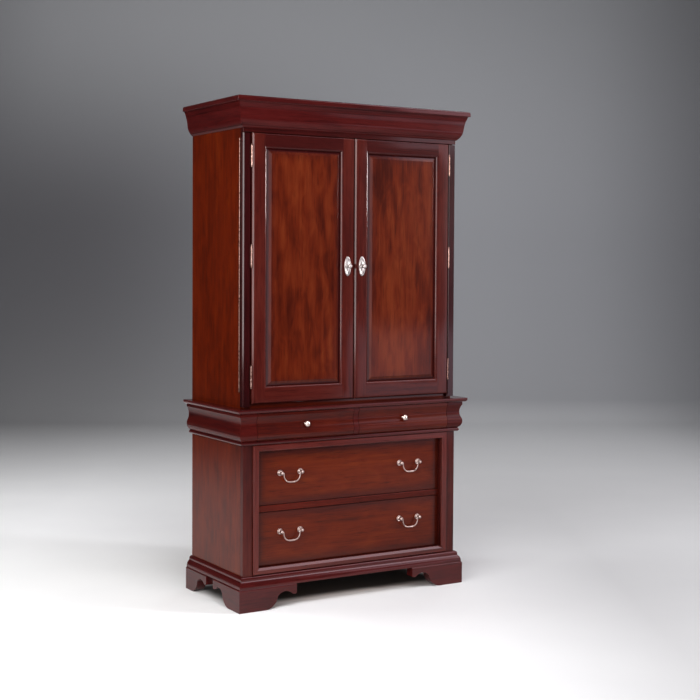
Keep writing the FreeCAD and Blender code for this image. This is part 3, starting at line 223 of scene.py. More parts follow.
def eased_board(node, name, body, finish, ease=0.0012, planing=None):
    """A board as it was cut, with its arrises eased, in the place of the plain one."""
    board = copy_of(node, name)
    if planing:
        planing(board)
    bpy.ops.object.mode_set(mode="EDIT")
    bpy.ops.mesh.select_mode(type="EDGE")
    merge_corners()
    bpy.ops.mesh.dissolve_limited(angle_limit=math.radians(1))
    bpy.ops.mesh.select_all(action="DESELECT")
    bpy.ops.mesh.edges_select_sharp(sharpness=math.radians(35))
    bpy.ops.mesh.bevel(offset=ease, segments=2, affect="EDGES", clamp_overlap=True)
    bpy.ops.object.mode_set(mode="OBJECT")
    shade_evenly(board, 50)
    board.data.materials.clear()
    board.data.materials.append(finish)
    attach(board, body)
    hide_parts(node)


side_finish = stained_cherry("side_veneer", (0.116, 0.0170, 0.0030), (0.056, 0.0060, 0.0012),
                             "Z", shift=1.3, curl=0.3, coat=0.6)
for hand in ("left", "right"):
    eased_board(f"{hand}_lower_side", f"{hand}_lower_side_board", "case",
                side_finish)
inner_finish = stained_cherry("inner_maple", (0.52, 0.33, 0.17), (0.36, 0.20, 0.09), "X",
                              shift=2.2, curl=0.2, coat=0.1)
wear(inner_finish, "lower_bottom", "waist_deck")
back_finish = stained_cherry("back_ply", (0.30, 0.13, 0.05), (0.18, 0.07, 0.03), "Z",
                             shift=9.2, curl=0.2, coat=0.0)
wear(back_finish, "lower_back", "upper_back")


# ---------------------------------------------------------------- face frame and drawer rail
# The frame that stiffens the front of the lower case, with the rail between the two wide
# drawers and a mitred moulding, the surround, glued on round both of them. The foot of the
# surround is planed to a slope along its inner front arris.
def rails_between(left, right):
    """Where the grain lies level: 1 between two stiles, 0 on the stiles."""
    def turn(tree, place):
        x = parts_of_place(tree, place)["X"]
        inside = sums(tree, "ABSOLUTE", sums(tree, "SUBTRACT", x, 0.5 * (left + right)))
        return sums(tree, "LESS_THAN", inside, 0.5 * (right - left))
    return turn


def mitred_frame(node):
    """Where the grain lies level on a mitred frame: 1 on its rails, 0 on its sides."""
    low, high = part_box(node)

    def turn(tree, place):
        x, _, z = parts_of_place(tree, place)
        across = sums(tree, "SUBTRACT", sums(tree, "ABSOLUTE", x), high.x)
        rise = sums(tree, "ABSOLUTE", sums(tree, "SUBTRACT", z, 0.5 * (low.z + high.z)))
        up = sums(tree, "SUBTRACT", rise, 0.5 * (high.z - low.z))
        return sums(tree, "GREATER_THAN", up, across)
    return turn


surround_width = 0.0245
slope_height = 0.009
slope_facing = (0, -0.747, 0.664)


def sloped_foot(board):
    """Planes the slope of the surround's foot, with the mitred ends of its sides left alone."""
    corners = board.data.vertices
    lip = min(corner.co.z for corner in corners) + surround_width
    front = min(corner.co.y for corner in corners)
    for face in board.data.polygons:
        below = all(corners[at].co.z < lip + 10 * touching for at in face.vertices)
        end_of_side = face.normal.z < -0.5 and abs(face.normal.x) > 0.5
        face.select = below and not end_of_side
    bpy.ops.object.mode_set(mode="EDIT")
    bpy.ops.mesh.select_mode(type="FACE")
    bpy.ops.mesh.remove_doubles(threshold=touching)
    bpy.ops.mesh.bisect(plane_co=(0, front, lip - slope_height), plane_no=slope_facing,
                        use_fill=True, clear_outer=True)
    bpy.ops.object.mode_set(mode="OBJECT")


frame_light = (0.080, 0.0140, 0.0095)
frame_dark = (0.040, 0.0055, 0.0045)
stile_edge = 0.44
face_finish = stained_cherry("face_frame_cherry", frame_light, frame_dark, "ZX", shift=6.1,
                             turn=rails_between(-stile_edge, stile_edge), curl=0.2, coat=0.6)
eased_board("lower_face_frame", "lower_face_frame_eased", "case", face_finish)
surround_finish = stained_cherry("surround_cherry", (0.104, 0.0200, 0.0150),
                                 (0.056, 0.0095, 0.0075), "ZX", shift=7.7,
                                 turn=mitred_frame("drawer_surround"), curl=0.2)
eased_board("drawer_surround", "drawer_surround_eased", "case", surround_finish,
            ease=0.0008, planing=sloped_foot)
rail_finish = stained_cherry("rail_cherry", (0.094, 0.0130, 0.0060), (0.048, 0.0055, 0.0030), "X",
                             shift=8.4, curl=0.2, coat=0.35)
wear(rail_finish, "drawer_rail")


# ---------------------------------------------------------------- wide drawers
# Two deep drawers with solid fronts, the grain running level from end to end and the stain
# shaded darker towards the edges, on boxes of pale wood with steel slides at both sides.
def beyond_field(tree, place, middle, half_width, half_height):
    """How far outside a rectangle a place on a front lies; less than 0 inside it."""
    x, _, z = parts_of_place(tree, place)
    across = sums(tree, "ABSOLUTE", sums(tree, "SUBTRACT", x, middle[0]))
    rise = sums(tree, "ABSOLUTE", sums(tree, "SUBTRACT", z, middle[1]))
    return sums(tree, "MAXIMUM", sums(tree, "SUBTRACT", across, half_width),
                sums(tree, "SUBTRACT", rise, half_height))


def shaded_edges(middle, half_width, half_height, reach, most):
    """Where the finisher shades a front towards its edges: 0 inside, up to most at the edge."""
    def where(tree, place):
        beyond = beyond_field(tree, place, middle, half_width, half_height)
        return lay(tree, "MapRange", {"Value": beyond, "From Min": -reach, "From Max": 0.0,
                                      "To Max": most}, interpolation_type="SMOOTHSTEP").outputs[0]
    return where


steel_finish, tree, out = new_finish("slide_zinc")
place = lay(tree, "TexCoord").outputs["Object"]
rolled = lay(tree, "Mapping", {"Vector": place, "Scale": (1.0, 0.05, 1.0)}).outputs[0]
streak = lay(tree, "TexNoise", {"Vector": rolled, "Scale": 900.0, "Detail": 2.0}).outputs[0]
zinc = lay(tree, "ValToRGB", {0: streak})
zinc.color_ramp.elements[0].color = (0.42, 0.43, 0.45, 1)
zinc.color_ramp.elements[1].color = (0.60, 0.61, 0.62, 1)
dull = lay(tree, "MapRange", {"Value": streak, "To Min": 0.28, "To Max": 0.42}).outputs[0]
tree.links.new(lay(tree, "BsdfPrincipled", {"Base Color": zinc.outputs[0], "Metallic": 1.0,
                                            "Roughness": dull}).outputs[0], out.inputs[0])
wear(steel_finish, "slide_rails")

drawer_light = (0.114, 0.0160, 0.0010)
drawer_dark = (0.054, 0.0058, 0.0006)
drawer_shade = (0.036, 0.0048, 0.0040)
shade_half_height = 0.103
for level, shift in (("upper", 2.6), ("lower", 4.9)):
    low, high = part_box(f"{level}_drawer_front")
    edges = shaded_edges((0.0, 0.5 * (low.z + high.z)), high.x, shade_half_height, reach=0.045,
                         most=0.65)
    front_finish = stained_cherry(f"{level}_drawer_cherry", drawer_light, drawer_dark, "X",
                                  shift=shift, curl=0.28, coat=0.6, glaze_and_shade=(drawer_shade, edges))
    eased_board(f"{level}_drawer_front", f"{level}_drawer_front_eased", f"{level}_drawer",
                front_finish)
    wear(inner_finish, f"{level}_drawer_box")
    wear(steel_finish, f"{level}_slide_runners", f"{level}_slide_carriers")


# ---------------------------------------------------------------- drawer pulls
# Two bail pulls to a drawer, in antique pewter. A cast bail, thicker at its grip, hangs by its
# turned-in tips from two turned posts, each screwed through a dished rosette into the front.
def cast_pewter(name, low, high):
    """Pewter with grime in its hollows and a cloudy polish on what stands proud."""
    finish, tree, out = new_finish(name)
    place = lay(tree, "TexCoord").outputs["Object"]
    cloud = lay(tree, "TexNoise", {"Vector": place, "Scale": 240.0, "Detail": 3.0}).outputs[0]
    grime = lay(tree, "AmbientOcclusion", {"Distance": 0.006}, samples=4).outputs[1]
    dirt = sums(tree, "MULTIPLY_ADD", cloud, 0.35, sums(tree, "MULTIPLY", grime, 0.75))
    pewter = lay(tree, "ValToRGB", {0: dirt})
    pewter.color_ramp.elements[0].position = 0.25
    pewter.color_ramp.elements[0].color = (*low, 1)
    pewter.color_ramp.elements[1].position = 0.75
    pewter.color_ramp.elements[1].color = (*high, 1)
    dull = lay(tree, "MapRange", {"Value": cloud, "To Min": 0.30, "To Max": 0.42}).outputs[0]
    tree.links.new(lay(tree, "BsdfPrincipled", {"Base Color": pewter.outputs[0], "Metallic": 1.0,
                                                "Roughness": dull}).outputs[0], out.inputs[0])
    return finish


pewter_finish = cast_pewter("antique_pewter", (0.10, 0.075, 0.066), (0.47, 0.37, 0.34))


def turned_piece(name, centre, radius, steps, segments=28):
    """A piece turned about a line that comes forward from a point: a disc, drawn out step by
    step to each distance and radius in millimetres."""
    bpy.ops.object.select_all(action="DESELECT")
    bpy.ops.mesh.primitive_circle_add(vertices=segments, radius=radius / 1000, fill_type="NGON",
                                      location=centre, rotation=(math.pi / 2, 0, 0))
    piece = bpy.context.object
    piece.name = name
    bpy.ops.object.transform_apply(location=True, rotation=True, scale=True)
    bpy.ops.object.mode_set(mode="EDIT")
    bpy.ops.mesh.select_all(action="SELECT")
    before = 0.0
    for distance, wide in steps:
        bpy.ops.mesh.extrude_region_move(TRANSFORM_OT_translate={
            "value": (0, (before - distance) / 1000, 0)})
        middle = (centre[0], centre[1] - distance / 1000, centre[2])
        bpy.ops.transform.resize(value=(wide / radius, 1, wide / radius), center_override=middle)
        before, radius = distance, wide
    bpy.ops.mesh.select_all(action="SELECT")
    bpy.ops.mesh.normals_make_consistent(inside=False)
    bpy.ops.object.mode_set(mode="OBJECT")
    bpy.ops.object.shade_smooth_by_angle(angle=math.radians(50))
    return piece


def copied(piece, name, across=0.0, up=0.0, mirrored=False):
    """A copy of a piece with its own mesh, moved, or mirrored about the middle line first."""
    twin = bpy.data.objects.new(name, piece.data.copy())
    bpy.context.scene.collection.objects.link(twin)
    if mirrored:
        twin.data.transform(Matrix.Scale(-1, 4, (1, 0, 0)))
        pick(twin)
        bpy.ops.object.mode_set(mode="EDIT")
        bpy.ops.mesh.select_all(action="SELECT")
        bpy.ops.mesh.remove_doubles(threshold=touching)
        bpy.ops.mesh.normals_make_consistent(inside=False)
        bpy.ops.object.mode_set(mode="OBJECT")
    twin.data.transform(Matrix.Translation((across, 0, up)))
    return twin


drawer_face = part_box("upper_drawer_front")[0].y
swings = {joint["child"]: joint["pos_m"] for joint in frame["joints"]
          if joint["child"].endswith("_bail")}
bail_axis = swings["upper_left_bail"][1]
post_spread = 0.044
cheek = 0.0052
rosette_depth = 0.0061
rosette_steps = (
    (0.9, 12.0), (1.8, 11.5), (2.3, 10.7), (2.0, 10.0), (1.2, 9.3), (1.0, 7.4), (1.6, 6.4),
    (2.9, 5.6), (4.2, 4.3), (6.0, 3.5), (8.0, 3.5), (9.6, 4.4), (11.2, 6.0), (13.4, 7.2),
    (15.8, 7.6), (18.4, 7.3), (20.9, 6.2), (23.0, 4.6), (24.4, 2.4), (24.9, 0.5))
rosette = turned_piece("rosette_post", (0, drawer_face, 0), radius=12.0, steps=rosette_steps)
bpy.ops.object.mode_set(mode="EDIT")
bpy.ops.mesh.select_all(action="DESELECT")
bpy.ops.object.mode_set(mode="OBJECT")
for face in rosette.data.polygons:
    face.select = face.center.y < drawer_face - rosette_depth
bpy.ops.object.mode_set(mode="EDIT")
bpy.ops.mesh.select_mode(type="FACE")
bpy.ops.mesh.bisect(plane_co=(cheek, 0, 0), plane_no=(1, 0, 0), clear_outer=True, use_fill=True)
bpy.ops.object.mode_set(mode="OBJECT")
rosette.data.materials.append(pewter_finish)

# One half of a bail, from the tip in its post to the middle of the grip: distances across and
# down from the middle of the axis, and the rod's radius, in millimetres.
bail_steps = (
    (-38.4, 0.0, 1.6), (-37.9, -0.2, 2.3), (-36.6, -1.2, 2.7), (-35.8, -3.0, 2.5),
    (-35.5, -6.0, 2.2), (-35.3, -9.0, 2.1), (-34.7, -13.5, 2.2), (-33.2, -18.9, 2.3),
    (-30.4, -24.4, 2.45), (-26.2, -29.3, 2.6), (-20.6, -32.9, 2.75), (-14.5, -34.6, 2.85),
    (-11.4, -35.0, 2.9), (-10.9, -35.1, 3.8), (-9.5, -35.2, 4.0), (-8.1, -35.3, 3.8),
    (-7.6, -35.3, 3.0), (-4.0, -35.4, 3.4), (0.0, -35.5, 3.6))
bail_tip, tip_radius = -41.4, 1.6
bpy.ops.object.select_all(action="DESELECT")
bpy.ops.mesh.primitive_circle_add(vertices=14, radius=tip_radius / 1000, fill_type="NGON",
                                  rotation=(0, math.pi / 2, 0))
half_bail = bpy.context.object
half_bail.name = "bail_rod"
half_bail.data.transform(Matrix.Translation((bail_tip / 1000, bail_axis, 0))
                         @ half_bail.matrix_world)
half_bail.matrix_world = Matrix.Identity(4)
bpy.ops.object.mode_set(mode="EDIT")
bpy.ops.mesh.select_all(action="SELECT")
before, heading, radius = Vector((bail_tip, 0.0)), 0.0, tip_radius
for number, (across, down, wide) in enumerate(bail_steps):
    now = Vector((across, down))
    after = Vector(bail_steps[min(number + 1, len(bail_steps) - 1)][:2])
    run = (after - before) if number < len(bail_steps) - 1 else Vector((1, 0))
    turned_to = math.atan2(run.y, run.x)
    step = (now - before) / 1000
    bpy.ops.mesh.extrude_region_move(TRANSFORM_OT_translate={"value": (step.x, 0, step.y)})
    middle = (now.x / 1000, bail_axis, now.y / 1000)
    bpy.ops.transform.rotate(value=turned_to - heading, orient_axis="Y", center_override=middle)
    bpy.ops.transform.resize(value=(wide / radius,) * 3, center_override=middle)
    before, heading, radius = now, turned_to, wide
bpy.ops.mesh.delete(type="ONLY_FACE")
bpy.ops.object.mode_set(mode="OBJECT")
other_half = half_bail.modifiers.new("other_half", "MIRROR")
other_half.merge_threshold = 0.00005
bpy.ops.object.modifier_apply(modifier=other_half.name)
bpy.ops.object.mode_set(mode="EDIT")
bpy.ops.mesh.select_all(action="SELECT")
bpy.ops.mesh.remove_doubles(threshold=touching)
bpy.ops.mesh.normals_make_consistent(inside=False)
bpy.ops.object.mode_set(mode="OBJECT")
bpy.ops.object.shade_smooth_by_angle(angle=math.radians(50))
half_bail.data.materials.append(pewter_finish)

for level in ("upper", "lower"):
    for hand, side in (("left", -1), ("right", 1)):
        across, _, height = swings[f"{level}_{hand}_bail"]
        hung = copied(half_bail, f"{level}_{hand}_bail_cast", across, height)
        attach(hung, f"{level}_{hand}_bail")
        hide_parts(f"{level}_{hand}_bail")
        for word, way in (("outer", 1), ("inner", -1)):
            post = copied(rosette, f"{level}_{hand}_{word}_post",
                          across + side * way * post_spread, height, mirrored=side * way > 0)
            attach(post, f"{level}_drawer")
            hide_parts(f"{level}_pull_posts")
for pattern in (rosette, half_bail):
    bpy.data.objects.remove(pattern)

# ---------------------------------------------------------------- waist
# A coved frieze of solid cherry between the two cases, mitred at the corners, with a bead under
# it and a moulded plate over it that the upper case stands on and is screwed to.
waist_finish = stained_cherry("waist_cherry", (0.070, 0.0085, 0.0060), burgundy_dark, "XY",
                              shift=4.1, turn=mitred_run("frieze_blocks"), curl=0.2, coat=0.4)
wear(waist_finish, "frieze_blocks")
wear(moulding_finish, "waist_bead", "waist_plate")

# ---------------------------------------------------------------- frieze drawers
# Two shallow drawers whose coved fronts run on from the blocks beside them, each with one
# turned mushroom knob of pale pewter, screwed on from inside.
frieze_finish = stained_cherry("frieze_drawer_cherry", (0.084, 0.0110, 0.0040), frame_dark, "X",
                               shift=5.9, curl=0.25, coat=0.45)
knob_finish = cast_pewter("pale_pewter", (0.17, 0.14, 0.125), (0.70, 0.61, 0.56))
for hand in ("left", "right"):
    wear(frieze_finish, f"{hand}_frieze_drawer_front")
    wear(inner_finish, f"{hand}_frieze_drawer_box")
knob_steps = (
    (0.8, 6.4), (2.2, 6.2), (3.4, 4.6), (5.2, 3.7), (8.2, 3.6), (10.6, 4.6), (12.4, 7.4),
    (13.6, 10.2), (15.6, 11.4), (17.6, 11.2), (19.8, 9.9), (21.8, 7.6), (23.2, 4.7), (24.0, 1.8),
    (24.2, 0.4))
frieze_hollow = -0.2188
knob_height = 0.697
knob_line = 0.2235
mushroom = turned_piece("mushroom_knob", (0, frieze_hollow, knob_height), radius=6.0,
                        steps=knob_steps)
mushroom.data.materials.append(knob_finish)
for hand, side in (("left", -1), ("right", 1)):
    knob = copied(mushroom, f"{hand}_frieze_knob_turned", side * knob_line)
    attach(knob, f"{hand}_frieze_drawer")
    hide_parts(f"{hand}_frieze_knob")
bpy.data.objects.remove(mushroom)

# ---------------------------------------------------------------- upper case
# Tall veneered sides with the grain upright, a top and a bottom board let into them, one loose
# shelf on four pins, and a head rail over the doors that the crown is glued to.
upper_side_finish = stained_cherry("upper_side_veneer", (0.122, 0.0170, 0.0012),
                                   (0.062, 0.0065, 0.0007), "Z", shift=7.3, curl=0.3, coat=0.45)
for hand in ("left", "right"):
    eased_board(f"{hand}_upper_side", f"{hand}_upper_side_board", "case",
                upper_side_finish)
board_finish = stained_cherry("case_board_cherry", (0.098, 0.0110, 0.0010),
                              (0.048, 0.0038, 0.0006), "X", shift=3.7, curl=0.2)
wear(board_finish, "upper_bottom", "upper_top", "shelf")
# The head rail is coloured far darker than the frames: painted shade that the crown casts on it.
head_rail_painted_shade_finish = stained_cherry("head_rail_cherry_painted_shade", (0.048, 0.0045, 0.0040), (0.028, 0.0025, 0.0025),
                             "X", shift=1.9, curl=0.2)
eased_board("head_rail", "head_rail_eased", "case", head_rail_painted_shade_finish)

# ---------------------------------------------------------------- crown and top board
# A deep cove of solid cherry with steps above and below it, mitred at the front corners and
# glued round three sides, under a thin top board. Three quirks are cut along it: two under the
# top board and one over its foot bead.
crown_finish = stained_cherry("crown_cherry", burgundy, burgundy_dark, "XY", shift=2.9,
                              turn=mitred_run("crown_moulding"), curl=0.2, coat=0.45)
quirks = ((1.8225, 1.8250), (1.8885, 1.8910), (1.9055, 1.9075))
quirk_depth = 0.0022
facing_out = 0.3
rail_low, rail_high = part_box("head_rail")
clear_of_rail = 0.0005
crown = copy_of("crown_moulding", "crown_moulding_cut")
bpy.ops.object.mode_set(mode="EDIT")
bpy.ops.mesh.select_mode(type="FACE")
merge_corners()
for level in [height for quirk in quirks for height in quirk]:
    bpy.ops.mesh.select_all(action="SELECT")
    bpy.ops.mesh.bisect(plane_co=(0, 0, level), plane_no=(0, 0, 1))
bpy.ops.mesh.select_all(action="DESELECT")
bpy.ops.object.mode_set(mode="OBJECT")
for face in crown.data.polygons:
    at, out = face.center, face.normal
    on_front = out.y < -facing_out and at.y < rail_low.y - clear_of_rail
    on_side = (out.x * at.x > 0 and abs(out.x) > facing_out
               and abs(at.x) > rail_high.x + clear_of_rail)
    face.select = (on_front or on_side) and any(low < at.z < high for low, high in quirks)
bpy.ops.object.mode_set(mode="EDIT")
bpy.ops.mesh.extrude_region_shrink_fatten(TRANSFORM_OT_shrink_fatten={"value": -quirk_depth})
bpy.ops.object.mode_set(mode="OBJECT")
shade_evenly(crown, 25)
crown.data.materials.clear()
crown.data.materials.append(crown_finish)
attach(crown, "case")
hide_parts("crown_moulding")
top_finish = stained_cherry("top_cherry", burgundy, burgundy_dark, "X", shift=6.6, curl=0.2)
eased_board("top_board", "top_board_eased", "case", top_finish, ease=0.0015)

# ---------------------------------------------------------------- brass hinges
# A piano hinge at each side of the case carries a pilaster, and three butt hinges with ball tips
# carry its door. They and the pins of the shelf are of rolled brass, the hinges screwed on, and
# those at the case toned darker.
brass_finish, tree, out = new_finish("lacquered_brass")
place = lay(tree, "TexCoord").outputs["Object"]
cloud = lay(tree, "TexNoise", {"Vector": place, "Scale": 160.0, "Detail": 3.0}).outputs[0]
brass = lay(tree, "ValToRGB", {0: cloud})
brass.color_ramp.elements[0].position = 0.3
brass.color_ramp.elements[0].color = (0.20, 0.11, 0.085, 1)
brass.color_ramp.elements[1].position = 0.7
brass.color_ramp.elements[1].color = (0.46, 0.31, 0.27, 1)
dull = lay(tree, "MapRange", {"Value": cloud, "To Min": 0.22, "To Max": 0.36}).outputs[0]
tree.links.new(lay(tree, "BsdfPrincipled", {"Base Color": brass.outputs[0], "Metallic": 1.0,
                                            "Roughness": dull}).outputs[0], out.inputs[0])
dark_brass = brass_finish.copy()
dark_brass.name = "toned_brass"
ramp = next(node for node in dark_brass.node_tree.nodes if node.type == "VALTORGB").color_ramp
ramp.elements[0].color = (0.090, 0.050, 0.042, 1)
ramp.elements[1].color = (0.30, 0.19, 0.16, 1)
wear(brass_finish, "shelf_pins")
wear(dark_brass, "piano_case_leaves")
for hand in ("left", "right"):
    wear(dark_brass, f"{hand}_piano_leaf")
    wear(brass_finish, f"{hand}_pilaster_hinge_leaves", f"{hand}_door_hinge_leaves")

# ---------------------------------------------------------------- pilasters
# The narrow posts that fold round with the doors, coloured nearly black-red. Their front arrises
# are planed to a narrow flat, as those of the doors are.
def planed_arrises(node, name, body, finish, radius, depth):
    """A copy of a piece with the two rounded upright arrises of its front planed to a flat."""
    low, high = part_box(node)
    board = copy_of(node, name)
    bpy.ops.object.mode_set(mode="EDIT")
    merge_corners()
    for edge, way in ((low.x, -1), (high.x, 1)):
        out = Vector((way, -1, 0)).normalized()
        centre = Vector((edge - way * radius, low.y + radius, 0))
        bpy.ops.mesh.select_all(action="SELECT")
        bpy.ops.mesh.bisect(plane_co=centre + out * (radius - depth), plane_no=out,
                            clear_outer=True, use_fill=True)
    bpy.ops.mesh.select_all(action="SELECT")
    bpy.ops.mesh.normals_make_consistent(inside=False)
    bpy.ops.object.mode_set(mode="OBJECT")
    bpy.ops.object.shade_smooth_by_angle(angle=math.radians(16))
    board.data.materials.clear()
    board.data.materials.append(finish)
    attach(board, body)
    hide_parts(node)


post_finish = stained_cherry("pilaster_cherry", (0.034, 0.0028, 0.0034), (0.018, 0.0014, 0.0020),
                             "Z", shift=8.8, curl=0.2)
for hand in ("left", "right"):
    planed_arrises(f"{hand}_pilaster", f"{hand}_pilaster_planed", f"{hand}_pilaster",
                   post_finish, radius=0.0045, depth=0.0013)


# ---------------------------------------------------------------- doors
# Frame-and-panel doors: stiles and rails with a deep moulded edge, and a raised and fielded
# panel of figured cherry that floats in their grooves.
def outside_field(middle, half_width, half_height):
    """Where a raised panel is dark: on its slope, and a little at the border of its field."""
    def where(tree, place):
        beyond = beyond_field(tree, place, middle, half_width, half_height)
        sloped = lay(tree, "MapRange", {"Value": beyond, "From Min": -0.003, "From Max": 0.002,
                                        "To Max": 0.92}).outputs[0]
        shaded = shaded_edges(middle, half_width, half_height, reach=0.04, most=0.30)
        return sums(tree, "MAXIMUM", sloped, shaded(tree, place))
    return where


def crown_shade_on_top_rail(left, right):
    """Painted shade that the crown casts on a door's top rail: up to 0.8 high on it, 0 elsewhere.
    """
    def where(tree, place):
        z = parts_of_place(tree, place)["Z"]
        inside = rails_between(left, right)(tree, place)
        high = lay(tree, "MapRange", {"Value": z, "From Min": 1.66, "From Max": 1.75,
                                      "To Max": 0.8}).outputs[0]
        return sums(tree, "MULTIPLY", inside, high)
    return where


stile_width = 0.052
slope_width = 0.018
for hand, shift in (("left", 3.3), ("right", 6.9)):
    low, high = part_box(f"{hand}_door_frame")
    rail_ends = low.x + stile_width, high.x - stile_width
    # Each door's top rail is darkened by painted shade from the crown over it.
    door_finish = stained_cherry(f"{hand}_door_cherry", frame_light, frame_dark, "ZX", shift=shift,
                                 turn=rails_between(*rail_ends), curl=0.22, coat=0.65,
                                 glaze_and_shade=((0.036, 0.0034, 0.0032), crown_shade_on_top_rail(*rail_ends)))
    planed_arrises(f"{hand}_door_frame", f"{hand}_door_frame_planed", f"{hand}_door",
                   door_finish, radius=0.006, depth=0.0014)
    low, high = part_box(f"{hand}_door_panel")
    slope = outside_field((0.5 * (low.x + high.x), 0.5 * (low.z + high.z)),
                          0.5 * (high.x - low.x) - slope_width,
                          0.5 * (high.z - low.z) - slope_width)
    panel_finish = stained_cherry(f"{hand}_panel_cherry", (0.122, 0.0225, 0.0060),
                                  (0.044, 0.0050, 0.0015), "Z", shift=shift + 0.4, curl=0.36,
                                  flame=0.06, coat=0.5, glaze_and_shade=((0.034, 0.0042, 0.0050), slope))
    wear(panel_finish, f"{hand}_door_panel")

# Each door has one pull: an oval back plate with a raised rim, and an egg-shaped knob.
plate_finish = cast_pewter("plate_pewter", (0.10, 0.085, 0.078), (0.46, 0.42, 0.41))
plate_steps = (
    (1.6, 15.0), (2.6, 14.4), (3.2, 13.2), (3.1, 12.0), (2.3, 11.0), (1.6, 9.8), (1.7, 7.6),
    (2.3, 5.6), (2.5, 2.6))
egg_steps = (
    (2.0, 7.4), (3.4, 6.2), (4.8, 4.6), (7.0, 4.1), (10.0, 4.3), (12.0, 6.0), (14.4, 8.2),
    (17.4, 9.4), (20.4, 9.5), (23.4, 8.4), (25.9, 6.2), (27.6, 3.4), (28.2, 0.6))
door_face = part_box("left_door_frame")[0].y
pull_middle = (0, door_face, 1.3)
pull_across = 0.033
plate_stretch = 2.56
plate = turned_piece("oval_plate", pull_middle, radius=15.0, steps=plate_steps, segments=40)
bpy.ops.object.mode_set(mode="EDIT")
bpy.ops.mesh.select_all(action="SELECT")
bpy.ops.transform.resize(value=(1, 1, plate_stretch), center_override=pull_middle)
bpy.ops.object.mode_set(mode="OBJECT")
egg = turned_piece("egg_knob", pull_middle, radius=7.6, steps=egg_steps)
for part in (plate, egg):
    part.data.materials.append(plate_finish)
    for hand, side in (("left", -1), ("right", 1)):
        pull = copied(part, f"{hand}_door_{part.name}", side * pull_across)
        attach(pull, f"{hand}_door")
        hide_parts(f"{hand}_door_pull")
    bpy.data.objects.remove(part)

# ---------------------------------------------------------------- door catches
# Small catches of brown plastic inside the case, one at the head of each door's free edge,
# screwed up to the top board.
catch_finish, tree, out = new_finish("catch_plastic")
place = lay(tree, "TexCoord").outputs["Object"]
speck = lay(tree, "TexNoise", {"Vector": place, "Scale": 700.0, "Detail": 2.0}).outputs[0]
brown = lay(tree, "ValToRGB", {0: speck})
brown.color_ramp.elements[0].color = (0.035, 0.018, 0.010, 1)
brown.color_ramp.elements[1].color = (0.060, 0.032, 0.018, 1)
tree.links.new(lay(tree, "BsdfPrincipled", {"Base Color": brown.outputs[0],
                                            "Roughness": 0.45}).outputs[0], out.inputs[0])
wear(catch_finish, "door_catches")

# ---------------------------------------------------------------- studio floor and backdrop
# A sheet of pale paper that lies flat under the armoire and sweeps up behind it, nearly white
# on the floor and greyer towards its top. Its tones also hold painted light and shade: the light
# falling off towards the wall, a brighter floor on the left, and painted shadow to the right of
# the case and where the case stands over it.
sweep_far = 7.2
sweep_bend = 1.6
sweep_near = -7.0
sweep_half_width = 11.0
sweep_top = 7.5
sweep_turn = 0.52
bend_steps = 24
bpy.ops.object.select_all(action="DESELECT")
bpy.ops.mesh.primitive_plane_add(size=1.0)
sweep = bpy.context.object
sweep.name = "paper_sweep"
sweep.data.transform(Matrix.Diagonal((sweep_half_width * 2, 1.0, 1.0, 1.0)))
for vertex in sweep.data.vertices:
    vertex.co.y = sweep_near if vertex.co.y < 0 else sweep_far - sweep_bend
bpy.ops.object.mode_set(mode="EDIT")
bpy.ops.mesh.select_mode(type="EDGE")
bpy.ops.mesh.select_all(action="DESELECT")
bpy.ops.object.mode_set(mode="OBJECT")
for edge in sweep.data.edges:
    ends = [sweep.data.vertices[v].co.y for v in edge.vertices]
    edge.select = min(ends) > 0
bpy.ops.object.mode_set(mode="EDIT")
for step in range(bend_steps):
    before, after = (math.radians(90 * s / bend_steps) for s in (step, step + 1))
    bpy.ops.mesh.extrude_region_move(TRANSFORM_OT_translate={"value": (
        0, sweep_bend * (math.sin(after) - math.sin(before)),
        sweep_bend * (math.cos(before) - math.cos(after)))})
bpy.ops.mesh.extrude_region_move(TRANSFORM_OT_translate={"value": (0, 0, sweep_top)})
bpy.ops.object.mode_set(mode="OBJECT")
bpy.ops.object.shade_smooth()
sweep.data.transform(Matrix.Rotation(-sweep_turn, 4, "Z"))

paper, tree, out = new_finish("pale_paper")
place = lay(tree, "TexCoord").outputs["Object"]
fibre = lay(tree, "TexNoise", {"Vector": place, "Scale": 3.0, "Detail": 4.0}).outputs[0]
turned = lay(tree, "Mapping", {"Vector": place, "Rotation": (0, 0, sweep_turn)}).outputs[0]
aside, away, rise = parts_of_place(tree, turned)
to_wall = lay(tree, "MapRange", {"Value": away, "From Min": 2.1, "From Max": 7.3}).outputs[0]
to_sides = lay(tree, "MapRange", {"Value": sums(tree, "ABSOLUTE", aside), "From Min": 2.3,
                                  "From Max": 4.6}, interpolation_type="SMOOTHSTEP").outputs[0]
# The wall's tones hold painted light and shade: on the left dark low down and lighter high up, on
# the right lighter low down, lightest at its foot and a little darker high up.
to_right = lay(tree, "MapRange", {"Value": aside, "From Min": -2.4, "From Max": 1.6},
               interpolation_type="SMOOTHSTEP").outputs[0]
up_wall = lay(tree, "MapRange", {"Value": rise, "From Min": 1.6, "From Max": 3.8},
              interpolation_type="SMOOTHSTEP").outputs[0]
left_wall = lay(tree, "Mix", {0: up_wall, 6: (0.168, 0.165, 0.176, 1), 7: (0.45, 0.455, 0.47, 1)},
                data_type="RGBA").outputs[2]
foot_of_wall = lay(tree, "MapRange", {"Value": rise, "From Min": 0.0, "From Max": 0.14}).outputs[0]
far_right = lay(tree, "Mix", {0: foot_of_wall, 6: (0.60, 0.605, 0.62, 1),
                              7: (0.37, 0.375, 0.395, 1)}, data_type="RGBA").outputs[2]
right_wall = lay(tree, "Mix", {0: up_wall, 6: far_right, 7: (0.32, 0.325, 0.34, 1)},
                 data_type="RGBA").outputs[2]
wall = lay(tree, "Mix", {0: to_right, 6: left_wall, 7: right_wall},
           data_type="RGBA").outputs[2]
